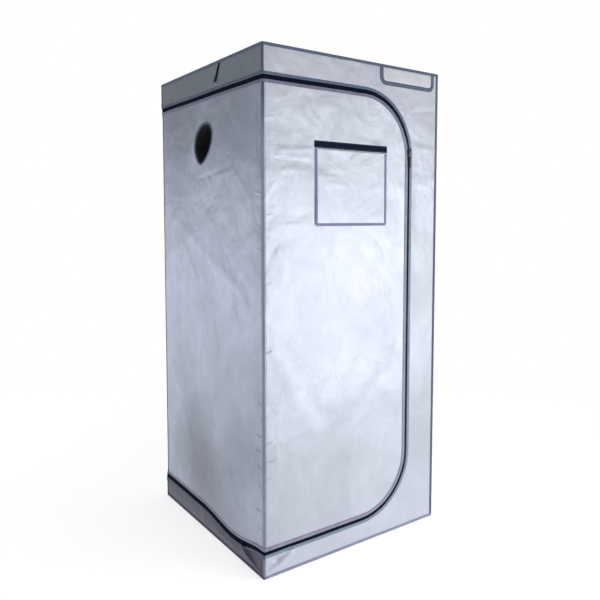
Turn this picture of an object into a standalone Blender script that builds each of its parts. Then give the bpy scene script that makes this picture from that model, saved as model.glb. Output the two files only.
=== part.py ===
"""An indoor grow tent: a steel tube frame in a coated cabinet with one door that wraps round two sides.

The door is a single zipped panel. It covers most of the left wall and a D-shaped part of the
front wall, so it folds along the rear left seam and along the front left seam.
Metres, +Z up, the origin on the floor under the middle of the cabinet. The front wall faces -Y.
"""
from math import cos, pi, radians, sin

import bmesh
import bpy
from mathutils import Matrix, Vector

# Cabinet
BODY_WIDTH = 0.82
BODY_DEPTH = 0.82
BODY_HEIGHT = 1.80
CLOTH = 0.0010
GAP = 0.0003

# Tape that binds the cabinet's edges
BINDING = 0.0012
BINDING_WIDTH = 0.009
BINDING_LIFT = 0.0005

# Zip: its line is where its two halves meet
ZIP_DROP = 0.110
ZIP_RISE = 0.092
ZIP_RIGHT_MARGIN = 0.158
ZIP_RADIUS = 0.225
ZIP_SLOT = 0.002
ZIP_THICKNESS = 0.0012
FRAME_BAND_WIDTH = 0.0175
DOOR_BAND_WIDTH = 0.0185
ARC_STEPS = 14

# The zip sags a little on the left wall, near the front corner
SAG_DEPTH = 0.028
SAG_FROM_CORNER = 0.200
SAG_REAR_REACH = 0.280
SAG_STEPS = 8

# Hinges of the two door panels are bare folds, eased at the fold
FOLD_RELIEF = 0.0010
FOLD_BAND_RELIEF = 0.0030

# Window in the front door
WINDOW_CENTRE_SHARE = 0.574
WINDOW_DROP = 0.300
WINDOW_STRAP_HEIGHT = 0.024
WINDOW_STRAP_THICKNESS = 0.0014
WINDOW_STRAP_OVERHANG = 0.002
FLAP_WIDTH = 0.332
FLAP_HEIGHT = 0.270
FLAP_EDGE_WIDTH = 0.010
FLAP_EDGE_THICKNESS = 0.0010
FLAP_RELIEF = 0.0010
FLAP_EDGE_RELIEF = 0.0040
WINDOW_INSET = 0.020
FILM = 0.0006
FILM_LAP = 0.012

# Duct port in the side door
PORT_CENTRE_SHARE = 0.527
PORT_DROP = 0.295
PORT_RADIUS = 0.075
PORT_POINT = 0.006
PORT_POINT_POWER = 9
PORT_STEPS = 32
COLLAR_WIDTH = 0.0075
COLLAR_THICKNESS = 0.0018
SLEEVE_LENGTH = 0.140
SLEEVE_TAPER = 0.004
SLEEVE_WALL = 0.0010
SLEEVE_RINGS = 4

# Strap that ties the rolled door
STRAP_CENTRE_SHARE = 0.355
STRAP_WIDTH = 0.016
STRAP_LENGTH = 0.066
STRAP_LEAN = 0.030
STRAP_THICKNESS = 0.0012
STRAP_RELIEF = 0.0006

# Patch on the front header
PATCH_WIDTH = 0.269
PATCH_HEIGHT = 0.066
PATCH_MARGIN = 0.027
PATCH_RADIUS = 0.030
PATCH_EDGE = 0.008
PATCH_THICKNESS = 0.0010
PATCH_STEPS = 6

# Zip slider and its pull
SLIDER_RISE = 0.010
SLIDER_LENGTH = 0.050
SLIDER_WIDTH = 0.021
SLIDER_FOOT_WIDTH = 0.015
SLIDER_PLATE = 0.0018
NECK_THICKNESS = 0.0012
NECK_HEIGHT = 0.015
BACK_PLATE = 0.0012
BACK_PLATE_REACH = 0.0095
PIN_RADIUS = 0.0008
PIN_STEPS = 12
PIN_CLEARANCE = 0.0003
BARREL_STEPS = 16
BARREL_WALL = 0.0010
LUG_THICKNESS = 0.0015
LUG_HEIGHT = 0.0055
LUG_DROP = 0.012
PULL_WIDTH = 0.009
PULL_LENGTH = 0.036
PULL_THICKNESS = 0.0013

# Frame of steel tubes
TUBE_RADIUS = 0.0095
TUBE_WALL = 0.0008
TUBE_STEPS = 16
SWAGE_CLEARANCE = 0.0003
SWAGE_LENGTH = 0.040
POST_SPLIT_SHARE = 0.5
HUB_SIZE = 0.025
HUB_BEVEL = 0.0025
HUB_OVERLAP = 0.004
SOCKET_WALL = 0.0020
SOCKET_CLEARANCE = 0.0003
SOCKET_FLOOR = 0.017
SOCKET_REACH = 0.062
SOCKET_STEPS = 20
END_CLEARANCE = 0.0005
OVERRUN = 0.010

# Bars that hang from the side rails
BAR_RADIUS = 0.0075
BAR_DROP = 0.0205
BAR_PLACE_SHARE = 0.18
HOOK_THICKNESS = 0.0024
HOOK_CLEARANCE = 0.0004
HOOK_WIDTH = 0.014
HOOK_FOOT = 0.003
HOOK_LAP_DEGREES = 20
HOOK_STEPS = 14

# Floor tray
TRAY_HEIGHT = 0.080
TRAY_WALL = 0.0015
TRAY_CLEARANCE = 0.004

# Planes and lines that several pieces share
SKIN_X = BODY_WIDTH / 2 - BINDING - GAP
SKIN_Y = BODY_DEPTH / 2 - BINDING - GAP
SKIN_TOP = BODY_HEIGHT - BINDING - GAP
SIDE_END = SKIN_Y - CLOTH - GAP
LINING_X = SKIN_X - CLOTH - GAP
ZIP_TOP = BODY_HEIGHT - ZIP_DROP
ZIP_BOTTOM = ZIP_RISE
ZIP_X = BODY_WIDTH / 2 - ZIP_RIGHT_MARGIN
BAND_FACE = GAP + ZIP_THICKNESS
HALF_SLOT = ZIP_SLOT / 2
POST_X = LINING_X - HUB_SIZE / 2
POST_Y = SIDE_END - HUB_SIZE / 2
LOW_RAIL_Z = CLOTH + GAP + HUB_SIZE / 2
HIGH_RAIL_Z = SKIN_TOP - CLOTH - GAP - HUB_SIZE / 2
BORE_RADIUS = TUBE_RADIUS + SOCKET_CLEARANCE
SOCKET_RADIUS = BORE_RADIUS + SOCKET_WALL
TUBE_START = SOCKET_FLOOR + END_CLEARANCE

# On a wall, u runs to the right, v up and w outward, as someone outside sees it
UPRIGHT = Matrix.Rotation(radians(90), 4, "X")
WALLS = {
    "front": Matrix.Translation((0, -SKIN_Y, 0)) @ UPRIGHT,
    "right": Matrix.Translation((SKIN_X, 0, 0)) @ Matrix.Rotation(radians(90), 4, "Z") @ UPRIGHT,
    "back": Matrix.Translation((0, SKIN_Y, 0)) @ Matrix.Rotation(radians(180), 4, "Z") @ UPRIGHT,
    "left": Matrix.Translation((-SKIN_X, 0, 0)) @ Matrix.Rotation(radians(-90), 4, "Z") @ UPRIGHT,
    "plan": Matrix.Identity(4),
}


def clear_scene():
    """Removes whatever the file opened with."""
    for item in list(bpy.data.objects):
        bpy.data.objects.remove(item, do_unlink=True)


def new_collection(name):
    collection = bpy.data.collections.new(name)
    bpy.context.scene.collection.children.link(collection)
    return collection


def new_material(name, colour, roughness, metallic=0.0):
    """A Principled material with a plain colour."""
    material = bpy.data.materials.new(name)
    material.use_nodes = True
    shader = material.node_tree.nodes["Principled BSDF"]
    shader.inputs["Base Color"].default_value = (*colour, 1.0)
    shader.inputs["Roughness"].default_value = roughness
    shader.inputs["Metallic"].default_value = metallic
    material.diffuse_color = (*colour, 1.0)
    return material


def give_material(piece, colour, roughness, metallic=0.0):
    """Puts a material of its own on the object and not on the mesh, which several objects may share."""
    if not piece.data.materials:
        piece.data.materials.append(None)
    piece.material_slots[0].link = "OBJECT"
    piece.material_slots[0].material = new_material(piece.name, colour, roughness, metallic)


def add_piece(name, data, matrix, look):
    piece = bpy.data.objects.new(name, data)
    PARTS.objects.link(piece)
    piece.matrix_world = matrix
    give_material(piece, *look)
    return piece


def hinge(name, place, parent=None):
    """An empty on a joint's axis, for the pieces that turn or slide there."""
    empty = bpy.data.objects.new(name, None)
    PARTS.objects.link(empty)
    empty.location = place
    if parent:
        empty.parent = parent
        empty.matrix_parent_inverse = Matrix.Translation(-Vector(joint_places[parent.name]))
    joint_places[name] = place
    return empty


def carry(empty, *pieces):
    """Parents the pieces to a joint's empty and leaves them where they are."""
    for piece in pieces:
        piece.parent = empty
        piece.matrix_parent_inverse = Matrix.Translation(-Vector(joint_places[empty.name]))


def plate(name, wall, outlines, low, high, look):
    """A flat piece on a wall.

    outlines are closed rings of (u, v): the rim, then its holes. The piece reaches from low to
    high, measured outward from the wall's skin.
    """
    curve = bpy.data.curves.new(name, "CURVE")
    curve.dimensions = "2D"
    curve.fill_mode = "BOTH"
    curve.extrude = (high - low) / 2
    for outline in outlines:
        spline = curve.splines.new("POLY")
        spline.points.add(len(outline) - 1)
        for point, (u, v) in zip(spline.points, outline):
            point.co = (u, v, 0, 1)
        spline.use_cyclic_u = True
    return add_piece(name, curve, WALLS[wall] @ Matrix.Translation((0, 0, (low + high) / 2)), look)


def rectangle(left, right, bottom, top):
    return [(left, bottom), (right, bottom), (right, top), (left, top)]


def arc(centre, radius, start, end, steps):
    """Points of an arc from start to end degrees, both ends included."""
    angles = [radians(start + (end - start) * i / steps) for i in range(steps + 1)]
    return [(centre[0] + radius * cos(a), centre[1] + radius * sin(a)) for a in angles]


def box_mesh(name, low, high):
    """A box between two corners, in the piece's own coordinates, such as a wall's (u, v, w)."""
    shape = bmesh.new()
    size = [b - a for a, b in zip(low, high)]
    middle = [(a + b) / 2 for a, b in zip(low, high)]
    place = Matrix.Translation(middle) @ Matrix.Diagonal((*size, 1))
    bmesh.ops.create_cube(shape, size=1, matrix=place)
    mesh = bpy.data.meshes.new(name)
    shape.to_mesh(mesh)
    shape.free()
    return mesh


def rod_mesh(name, start, end, radius, steps):
    """A solid round rod between two points."""
    start = Vector(start)
    end = Vector(end)
    along = end - start
    place = Matrix.Translation((start + end) / 2) @ along.to_track_quat("Z", "Y").to_matrix().to_4x4()
    shape = bmesh.new()
    bmesh.ops.create_cone(
        shape, cap_ends=True, segments=steps, radius1=radius, radius2=radius, depth=along.length, matrix=place
    )
    mesh = bpy.data.meshes.new(name)
    shape.to_mesh(mesh)
    shape.free()
    return mesh


def cutter(name, mesh):
    """A hidden object that a Boolean joins to a piece or takes from it."""
    piece = bpy.data.objects.new(name, mesh)
    CUTTERS.objects.link(piece)
    piece.hide_render = True
    piece.display_type = "WIRE"
    return piece


def combine(piece, operation, meshes):
    """Joins meshes to a piece, or takes them from it, one after another."""
    for count, mesh in enumerate(meshes):
        change = piece.modifiers.new(f"{operation.lower()}_{count}", "BOOLEAN")
        change.operation = operation
        change.object = cutter(f"{piece.name}_{operation.lower()}_{count}", mesh)


def baked_mesh(piece, name):
    """The mesh that a piece's modifiers make, as a mesh of its own. The piece is removed."""
    bpy.context.view_layer.update()
    graph = bpy.context.evaluated_depsgraph_get()
    mesh = bpy.data.meshes.new_from_object(piece.evaluated_get(graph))
    mesh.name = name
    helpers = [m.object for m in piece.modifiers if m.type == "BOOLEAN"]
    for item in [piece, *helpers]:
        bpy.data.objects.remove(item, do_unlink=True)
    return mesh


def turned_mesh(name, profile):
    """A turned ring. profile is a closed loop of (radius, height), down its outer side first."""
    shape = bmesh.new()
    corners = [shape.verts.new((radius, 0, height)) for radius, height in profile]
    for first, second in zip(corners, corners[1:] + corners[:1]):
        shape.edges.new((first, second))
    mesh = bpy.data.meshes.new(name)
    shape.to_mesh(mesh)
    shape.free()
    piece = bpy.data.objects.new(name, mesh)
    PARTS.objects.link(piece)
    screw = piece.modifiers.new("turn", "SCREW")
    screw.axis = "Z"
    screw.steps = TUBE_STEPS
    screw.render_steps = TUBE_STEPS
    screw.use_merge_vertices = True
    screw.merge_threshold = 0.00001
    screw.use_smooth_shade = True
    return baked_mesh(piece, name)


# Looks: colour, roughness, metallic
SILVER = ((0.62, 0.65, 0.72), 0.45, 0.25)
BLUE_GREY = ((0.10, 0.13, 0.20), 0.80)
PURPLE_GREY = ((0.20, 0.19, 0.30), 0.80)
BLACK_WEB = ((0.012, 0.014, 0.022), 0.85)
ZIP_TAPE = ((0.015, 0.022, 0.040), 0.75)
STEEL_PAINT = ((0.80, 0.81, 0.82), 0.40)
BLACK_PLASTIC = ((0.03, 0.03, 0.035), 0.50)
ZINC = ((0.32, 0.36, 0.36), 0.35, 0.9)
GREEN_FILM = ((0.20, 0.45, 0.28), 0.15)
TRAY_CLOTH = ((0.05, 0.05, 0.06), 0.60)


def front_line(offset, left):
    """The zip's line on the front wall, from its top left end round to its bottom left end.

    offset moves it away from the door, and left is where both ends stop.
    """
    radius = ZIP_RADIUS + offset
    middle_u = ZIP_X - ZIP_RADIUS
    upper = arc((middle_u, ZIP_TOP - ZIP_RADIUS), radius, 90, 0, ARC_STEPS)
    lower = arc((middle_u, ZIP_BOTTOM + ZIP_RADIUS), radius, 0, -90, ARC_STEPS)
    return [(left, ZIP_TOP + offset), *upper, *lower, (left, ZIP_BOTTOM - offset)]


def sag(u):
    """How far the zip's lower line hangs below its level, at a place on the left wall."""
    from_corner = SKIN_Y - u
    reach = SAG_FROM_CORNER if from_corner < SAG_FROM_CORNER else SAG_REAR_REACH
    along = (from_corner - SAG_FROM_CORNER) / reach
    return SAG_DEPTH * cos(along * pi / 2) ** 2 if abs(along) < 1 else 0


def sill_line(offset, rear, front):
    """The zip's lower line on the left wall, rear end first. offset moves it away from the door."""
    middle = SKIN_Y - SAG_FROM_CORNER
    start = middle - SAG_REAR_REACH
    places = [rear]
    places += [start + (middle - start) * i / SAG_STEPS for i in range(SAG_STEPS)]
    places += [middle + (front - middle) * i / SAG_STEPS for i in range(SAG_STEPS + 1)]
    return [(u, ZIP_BOTTOM - sag(u) - offset) for u in places]


def make_walls():
    """Roof, floor, back, right and front walls, and what the door leaves of the left wall."""
    floor = rectangle(-LINING_X, LINING_X, -SIDE_END, SIDE_END)
    plate("roof_panel", "plan", [floor], SKIN_TOP - CLOTH, SKIN_TOP, SILVER)
    plate("floor_panel", "plan", [floor], 0, CLOTH, TRAY_CLOTH)
    plate("back_wall", "back", [rectangle(-SKIN_X, SKIN_X, 0, SKIN_TOP)], -CLOTH, 0, SILVER)
    plate("right_wall", "right", [rectangle(-SIDE_END, SIDE_END, 0, SKIN_TOP)], -CLOTH, 0, SILVER)
    rim = front_line(HALF_SLOT, -SKIN_X)
    rim += [(-SKIN_X, 0), (SKIN_X, 0), (SKIN_X, SKIN_TOP), (-SKIN_X, SKIN_TOP)]
    plate("front_surround", "front", [rim], -CLOTH, 0, SILVER)
    header = rectangle(-SIDE_END, SIDE_END, ZIP_TOP + HALF_SLOT, SKIN_TOP)
    plate("left_header", "left", [header], -CLOTH, 0, SILVER)
    sill = [(-SIDE_END, 0), *sill_line(HALF_SLOT, -SIDE_END, SIDE_END), (SIDE_END, 0)]
    plate("left_sill", "left", [sill], -CLOTH, 0, SILVER)


def corner_outline(side_x, side_y):
    """An angle of tape round a vertical edge, in plan."""
    x = BODY_WIDTH / 2
    y = BODY_DEPTH / 2
    points = [
        (x, y),
        (x - BINDING_WIDTH, y),
        (x - BINDING_WIDTH, y - BINDING),
        (x - BINDING, y - BINDING),
        (x - BINDING, y - BINDING_WIDTH),
        (x, y - BINDING_WIDTH),
    ]
    return [(side_x * a, side_y * b) for a, b in points]


def centred_box(name, half_x, half_y, low, high):
    return box_mesh(name, (-half_x, -half_y, low), (half_x, half_y, high))


def front_left_legs(low, high):
    """The two legs of the tape on the front left edge, above or below the door."""
    x = -BODY_WIDTH / 2
    y = -BODY_DEPTH / 2
    side = box_mesh("side_leg", (x, y, low), (x + BINDING, y + BINDING_WIDTH, high))
    front = box_mesh("front_leg", (x, y, low), (x + BINDING_WIDTH, y + BINDING, high))
    return [side, front]


def make_bindings():
    """Tape round the top and bottom edges and down the corners. The door bares the front left one."""
    x = BODY_WIDTH / 2
    y = BODY_DEPTH / 2
    top_low = BODY_HEIGHT - BINDING_WIDTH
    bottom_high = BINDING_LIFT + BINDING_WIDTH
    zip_high = ZIP_TOP + FRAME_BAND_WIDTH + GAP
    zip_low = ZIP_BOTTOM - FRAME_BAND_WIDTH - GAP
    identity = Matrix.Identity(4)

    top = add_piece("top_binding", centred_box("top_ring", x, y, top_low, BODY_HEIGHT), identity, BLUE_GREY)
    under = BODY_HEIGHT - BINDING
    inner = centred_box("top_ring_inner", x - BINDING, y - BINDING, top_low - OVERRUN, under)
    opening = centred_box(
        "top_ring_opening", x - BINDING_WIDTH, y - BINDING_WIDTH, top_low - OVERRUN, BODY_HEIGHT + OVERRUN
    )
    combine(top, "DIFFERENCE", [inner, opening])
    combine(top, "UNION", front_left_legs(zip_high, top_low + BINDING))

    ring = centred_box("bottom_ring", x, y, BINDING_LIFT, bottom_high)
    bottom = add_piece("bottom_binding", ring, identity, PURPLE_GREY)
    inner = centred_box("bottom_ring_inner", x - BINDING, y - BINDING, -OVERRUN, bottom_high + OVERRUN)
    combine(bottom, "DIFFERENCE", [inner])
    combine(bottom, "UNION", front_left_legs(bottom_high - BINDING, zip_low))

    high = top_low - GAP
    low = bottom_high + GAP
    plate("corner_binding_rear_right", "plan", [corner_outline(1, 1)], low, high, BLUE_GREY)
    plate("corner_binding_front_right", "plan", [corner_outline(1, -1)], low, high, PURPLE_GREY)
    back_leg = rectangle(-SKIN_X, -x + BINDING_WIDTH, y - BINDING, y)
    plate("corner_binding_rear_left", "plan", [back_leg], low, high, BLUE_GREY)


def band(name, wall, inner, outer, look):
    """One half of the zip with its binding: a flat strip between two lines on a wall."""
    return plate(name, wall, [inner + outer[::-1]], GAP, BAND_FACE, look)


def make_frame_zip():
    """The half of the zip that stays on the cabinet."""
    rear = -SKIN_Y
    front = SKIN_Y
    wrap = -BODY_WIDTH / 2
    inner = front_line(HALF_SLOT, wrap)
    outer = front_line(FRAME_BAND_WIDTH, wrap)
    band("frame_zip_front", "front", inner, outer, ZIP_TAPE)
    header = rectangle(rear, front, ZIP_TOP + HALF_SLOT, ZIP_TOP + FRAME_BAND_WIDTH)
    plate("frame_zip_side_top", "left", [header], GAP, BAND_FACE, ZIP_TAPE)
    inner = sill_line(HALF_SLOT, rear, front)
    outer = sill_line(FRAME_BAND_WIDTH, rear, front)
    band("frame_zip_side_bottom", "left", inner, outer, ZIP_TAPE)


def patch_outline(inset):
    """A tab with rounded lower corners on the front header. inset shrinks its sides and bottom."""
    right = BODY_WIDTH / 2 - PATCH_MARGIN - inset
    left = BODY_WIDTH / 2 - PATCH_MARGIN - PATCH_WIDTH + inset
    top = BODY_HEIGHT - BINDING_WIDTH - GAP
    radius = PATCH_RADIUS - inset
    centre_v = top - PATCH_HEIGHT + PATCH_RADIUS
    lower_left = arc((left + radius, centre_v), radius, 180, 270, PATCH_STEPS)
    lower_right = arc((right - radius, centre_v), radius, 270, 360, PATCH_STEPS)
    return [(left, top), *lower_left, *lower_right, (right, top)]


def make_patch():
    """The bare name patch and the tape round it."""
    plate("name_patch", "front", [patch_outline(PATCH_EDGE + GAP)], GAP, GAP + PATCH_THICKNESS, SILVER)
    edge = patch_outline(0) + patch_outline(PATCH_EDGE)[::-1]
    plate("name_patch_edge", "front", [edge], GAP, GAP + BINDING, BLUE_GREY)


def make_side_door():
    """The left part of the door, with the duct port and its sleeve."""
    fold = hinge("side_door_fold", (-SKIN_X, SKIN_Y, 0))
    rear = -SIDE_END + FOLD_RELIEF
    top = ZIP_TOP - HALF_SLOT
    door_line = sill_line(-HALF_SLOT, rear, SIDE_END)
    rim = [*door_line, (SIDE_END, top), (rear, top)]
    hole = port_outline(PORT_RADIUS)
    panel = plate("side_door_panel", "left", [rim, hole], -CLOTH, 0, SILVER)

    band_low = ZIP_TOP - DOOR_BAND_WIDTH
    upper = rectangle(rear, SKIN_Y, band_low, top)
    zip_top = plate("door_zip_side_top", "left", [upper], GAP, BAND_FACE, ZIP_TAPE)
    inner = sill_line(-DOOR_BAND_WIDTH, rear, SKIN_Y)
    outer = sill_line(-HALF_SLOT, rear, SKIN_Y)
    zip_base = band("door_zip_side_bottom", "left", outer, inner, ZIP_TAPE)
    edge_low = ZIP_BOTTOM + DOOR_BAND_WIDTH + GAP
    strip = rectangle(SKIN_Y - BINDING_WIDTH, SKIN_Y, edge_low, band_low - GAP)
    edge = plate("door_corner_binding", "left", [strip], GAP, GAP + BINDING, PURPLE_GREY)

    rings = [port_outline(PORT_RADIUS + COLLAR_WIDTH), hole]
    collar = plate("duct_port_collar", "left", rings, GAP, GAP + COLLAR_THICKNESS, BLUE_GREY)
    sleeve = make_sleeve()
    carry(fold, panel, zip_top, zip_base, edge, collar, sleeve)
    return fold


def port_centre():
    """The middle of the duct port on the left wall, as (u, v)."""
    return (SKIN_Y - 2 * SKIN_Y * PORT_CENTRE_SHARE, BODY_HEIGHT - PORT_DROP)


def port_outline(radius):
    """The port's ring, which a drawstring pulls to a point at its foot."""
    centre = port_centre()
    points = []
    for i in range(PORT_STEPS):
        angle = 2 * pi * i / PORT_STEPS
        reach = radius + PORT_POINT * max(0, -sin(angle)) ** PORT_POINT_POWER
        points.append((centre[0] + reach * cos(angle), centre[1] + reach * sin(angle)))
    return points


def make_sleeve():
    """The duct sleeve, turned inwards: an open tube of cloth behind the port."""
    centre = Vector((*port_centre(), 0))
    shape = bmesh.new()
    rings = []
    for k in range(SLEEVE_RINGS + 1):
        share = k / SLEEVE_RINGS
        outline = port_outline(PORT_RADIUS - SLEEVE_TAPER * share)
        depth = -CLOTH - GAP - SLEEVE_LENGTH * share
        rings.append([shape.verts.new(Vector((u, v, depth)) - centre) for u, v in outline])
    for near, far in zip(rings, rings[1:]):
        for i, j in zip(range(PORT_STEPS), [*range(1, PORT_STEPS), 0]):
            shape.faces.new((near[i], near[j], far[j], far[i]))
    bmesh.ops.recalc_face_normals(shape, faces=shape.faces)
    mesh = bpy.data.meshes.new("duct_sleeve")
    shape.to_mesh(mesh)
    shape.free()
    piece = add_piece("duct_sleeve", mesh, WALLS["left"] @ Matrix.Translation(centre), BLACK_WEB)
    wall = piece.modifiers.new("cloth", "SOLIDIFY")
    wall.thickness = SLEEVE_WALL
    wall.offset = 1
    return piece


def make_front_door(side_fold):
    """The D-shaped front part of the door, with the window behind its flap."""
    fold = hinge("front_door_fold", (-SKIN_X, -SKIN_Y, 0), side_fold)
    hole = rectangle(
        window_left() + WINDOW_INSET,
        window_left() + FLAP_WIDTH - WINDOW_INSET,
        flap_top() - FLAP_HEIGHT + WINDOW_INSET,
        flap_top() - WINDOW_INSET,
    )
    rim = front_line(-HALF_SLOT, -SKIN_X + FOLD_RELIEF)
    panel = plate("front_door_panel", "front", [rim, hole], -CLOTH, 0, SILVER)
    start = -SKIN_X + FOLD_BAND_RELIEF
    inner = front_line(-DOOR_BAND_WIDTH, start)
    outer = front_line(-HALF_SLOT, start)
    door_band = band("door_zip_front", "front", inner, outer, ZIP_TAPE)
    pane = rectangle(
        hole[0][0] - FILM_LAP, hole[1][0] + FILM_LAP, hole[0][1] - FILM_LAP, hole[2][1] + FILM_LAP
    )
    film_face = -CLOTH - GAP
    film = plate("window_film", "front", [pane], film_face - FILM, film_face, GREEN_FILM)
    strap_low = flap_top() + FLAP_RELIEF
    strap_outline = rectangle(
        window_left() - WINDOW_STRAP_OVERHANG,
        window_left() + FLAP_WIDTH + WINDOW_STRAP_OVERHANG,
        strap_low,
        strap_low + WINDOW_STRAP_HEIGHT,
    )
    strap = plate("window_strap", "front", [strap_outline], GAP, GAP + WINDOW_STRAP_THICKNESS, BLACK_WEB)
    carry(fold, panel, door_band, film, strap)
    return fold


def window_left():
    """Where the flap's left edge is on the front wall."""
    door_width = ZIP_X + SKIN_X
    return -SKIN_X + door_width * WINDOW_CENTRE_SHARE - FLAP_WIDTH / 2


def flap_top():
    return BODY_HEIGHT - WINDOW_DROP - WINDOW_STRAP_HEIGHT - FLAP_RELIEF


def make_window_flap(front_fold):
    """The flap that hangs from the strap, edged with tape on three sides."""
    face = GAP + CLOTH
    left = window_left()
    right = left + FLAP_WIDTH
    top = flap_top()
    bottom = top - FLAP_HEIGHT
    fold = hinge("window_flap_fold", (0, -SKIN_Y - face - GAP, top), front_fold)
    flap = plate("window_flap", "front", [rectangle(left, right, bottom, top)], GAP, face, SILVER)
    edge_top = top - FLAP_EDGE_RELIEF
    edge = [
        (left, edge_top),
        (left, bottom),
        (right, bottom),
        (right, edge_top),
        (right - FLAP_EDGE_WIDTH, edge_top),
        (right - FLAP_EDGE_WIDTH, bottom + FLAP_EDGE_WIDTH),
        (left + FLAP_EDGE_WIDTH, bottom + FLAP_EDGE_WIDTH),
        (left + FLAP_EDGE_WIDTH, edge_top),
    ]
    edge_low = face + GAP
    edging = plate("window_flap_edge", "front", [edge], edge_low, edge_low + FLAP_EDGE_THICKNESS, PURPLE_GREY)
    carry(fold, flap, edging)


def make_slider(front_fold):
    """The zip's slider at the top of the upright run, the plate behind the zip, and the pull."""
    middle_v = ZIP_TOP - ZIP_RADIUS + SLIDER_RISE
    low_v = middle_v - SLIDER_LENGTH / 2
    track = hinge("zip_slider_track", (ZIP_X, -SKIN_Y, middle_v), front_fold)
    plate_low = BAND_FACE + GAP
    plate_high = plate_low + SLIDER_PLATE
    pin_w = plate_high + PIN_RADIUS + PIN_CLEARANCE + BARREL_WALL + GAP
    pin_v = middle_v - LUG_DROP

    body_mesh = box_mesh(
        "slider_body",
        (ZIP_X - SLIDER_WIDTH / 2, low_v, plate_low),
        (ZIP_X + SLIDER_WIDTH / 2, low_v + SLIDER_LENGTH, plate_high),
    )
    for corner in body_mesh.vertices:
        if corner.co.y < middle_v:
            corner.co.x = ZIP_X + (corner.co.x - ZIP_X) * SLIDER_FOOT_WIDTH / SLIDER_WIDTH
    slider = add_piece("zip_slider", body_mesh, WALLS["front"], ZINC)
    inner = PULL_WIDTH / 2 + GAP
    outer = inner + LUG_THICKNESS
    lugs = [
        box_mesh(
            "slider_lug",
            (ZIP_X + near, pin_v - LUG_HEIGHT / 2, plate_low + SLIDER_PLATE / 2),
            (ZIP_X + far, pin_v + LUG_HEIGHT / 2, pin_w + PIN_RADIUS + GAP),
        )
        for near, far in ((-outer, -inner), (inner, outer))
    ]
    half_pin = (inner + outer) / 2
    pin_ends = [(ZIP_X + side * half_pin, pin_v, pin_w) for side in (-1, 1)]
    pin = rod_mesh("slider_pin", *pin_ends, PIN_RADIUS, PIN_STEPS)
    combine(slider, "UNION", [*lugs, pin])

    neck_high = low_v + NECK_HEIGHT
    half_neck = NECK_THICKNESS / 2
    back_face = SKIN_Y - CLOTH - GAP
    elbow = [
        (ZIP_X + half_neck, -SKIN_Y - BAND_FACE),
        (ZIP_X - half_neck, -SKIN_Y - BAND_FACE),
        (ZIP_X - half_neck, -back_face),
        (ZIP_X - BACK_PLATE_REACH, -back_face),
        (ZIP_X - BACK_PLATE_REACH, -back_face + BACK_PLATE),
        (ZIP_X + half_neck, -back_face + BACK_PLATE),
    ]
    back = plate("slider_back_plate", "plan", [elbow], low_v, neck_high, ZINC)

    swing = hinge("zip_pull_pivot", (ZIP_X, -SKIN_Y - pin_w, pin_v), track)
    barrel_radius = PIN_RADIUS + PIN_CLEARANCE + BARREL_WALL
    half = PULL_WIDTH / 2
    tab = box_mesh(
        "pull_tab",
        (ZIP_X - half, pin_v - PULL_LENGTH, pin_w - PULL_THICKNESS / 2),
        (ZIP_X + half, pin_v, pin_w + PULL_THICKNESS / 2),
    )
    pull = add_piece("zip_pull", tab, WALLS["front"], BLACK_PLASTIC)
    barrel_ends = [(ZIP_X + side * half, pin_v, pin_w) for side in (-1, 1)]
    barrel = rod_mesh("pull_barrel", *barrel_ends, barrel_radius, BARREL_STEPS)
    bore_half = half + OVERRUN
    bore_radius = PIN_RADIUS + PIN_CLEARANCE
    bore_ends = [(ZIP_X + side * bore_half, pin_v, pin_w) for side in (-1, 1)]
    bore = rod_mesh("pull_bore", *bore_ends, bore_radius, BARREL_STEPS)
    combine(pull, "UNION", [barrel])
    combine(pull, "DIFFERENCE", [bore])
    for helper in CUTTERS.objects:
        if helper.name.startswith(("zip_slider_union", "zip_pull_")):
            helper.matrix_world = WALLS["front"]
    carry(track, slider, back)
    carry(swing, pull)


def make_tie_strap():
    """The webbing strap that holds the rolled door. It hangs askew from the header's top edge."""
    top = BODY_HEIGHT - BINDING_WIDTH - STRAP_RELIEF
    face = GAP + STRAP_THICKNESS
    middle = SKIN_Y * (1 - 2 * STRAP_CENTRE_SHARE)
    fold = hinge("tie_strap_fold", (-SKIN_X - face - GAP, -middle, top))
    half = STRAP_WIDTH / 2
    foot = middle - STRAP_LEAN
    low = top - STRAP_LENGTH
    outline = [(middle + half, top), (middle - half, top), (foot - half, low), (foot + half, low)]
    carry(fold, plate("tie_strap", "left", [outline], GAP, face, BLACK_WEB))


def connector_mesh():
    """A corner of three sockets. Its hub is at the origin and its sockets point along +X, +Y and +Z."""
    half = HUB_SIZE / 2
    hub = box_mesh("connector_hub", (-half, -half, -half), (half, half, half))
    piece = bpy.data.objects.new("connector_blank", hub)
    PARTS.objects.link(piece)
    bevel = piece.modifiers.new("edges", "BEVEL")
    bevel.width = HUB_BEVEL
    bevel.segments = 1
    axes = [Vector((1, 0, 0)), Vector((0, 1, 0)), Vector((0, 0, 1))]
    sockets = [
        rod_mesh("connector_socket", a * HUB_OVERLAP, a * SOCKET_REACH, SOCKET_RADIUS, SOCKET_STEPS)
        for a in axes
    ]
    bores = [
        rod_mesh("connector_bore", a * SOCKET_FLOOR, a * (SOCKET_REACH + OVERRUN), BORE_RADIUS, SOCKET_STEPS)
        for a in axes
    ]
    combine(piece, "UNION", sockets)
    combine(piece, "DIFFERENCE", bores)
    return baked_mesh(piece, "corner_connector")


def tube_profile(length):
    """A plain tube that stands on the origin."""
    inner = TUBE_RADIUS - TUBE_WALL
    return [(TUBE_RADIUS, length), (TUBE_RADIUS, 0), (inner, 0), (inner, length)]


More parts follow.
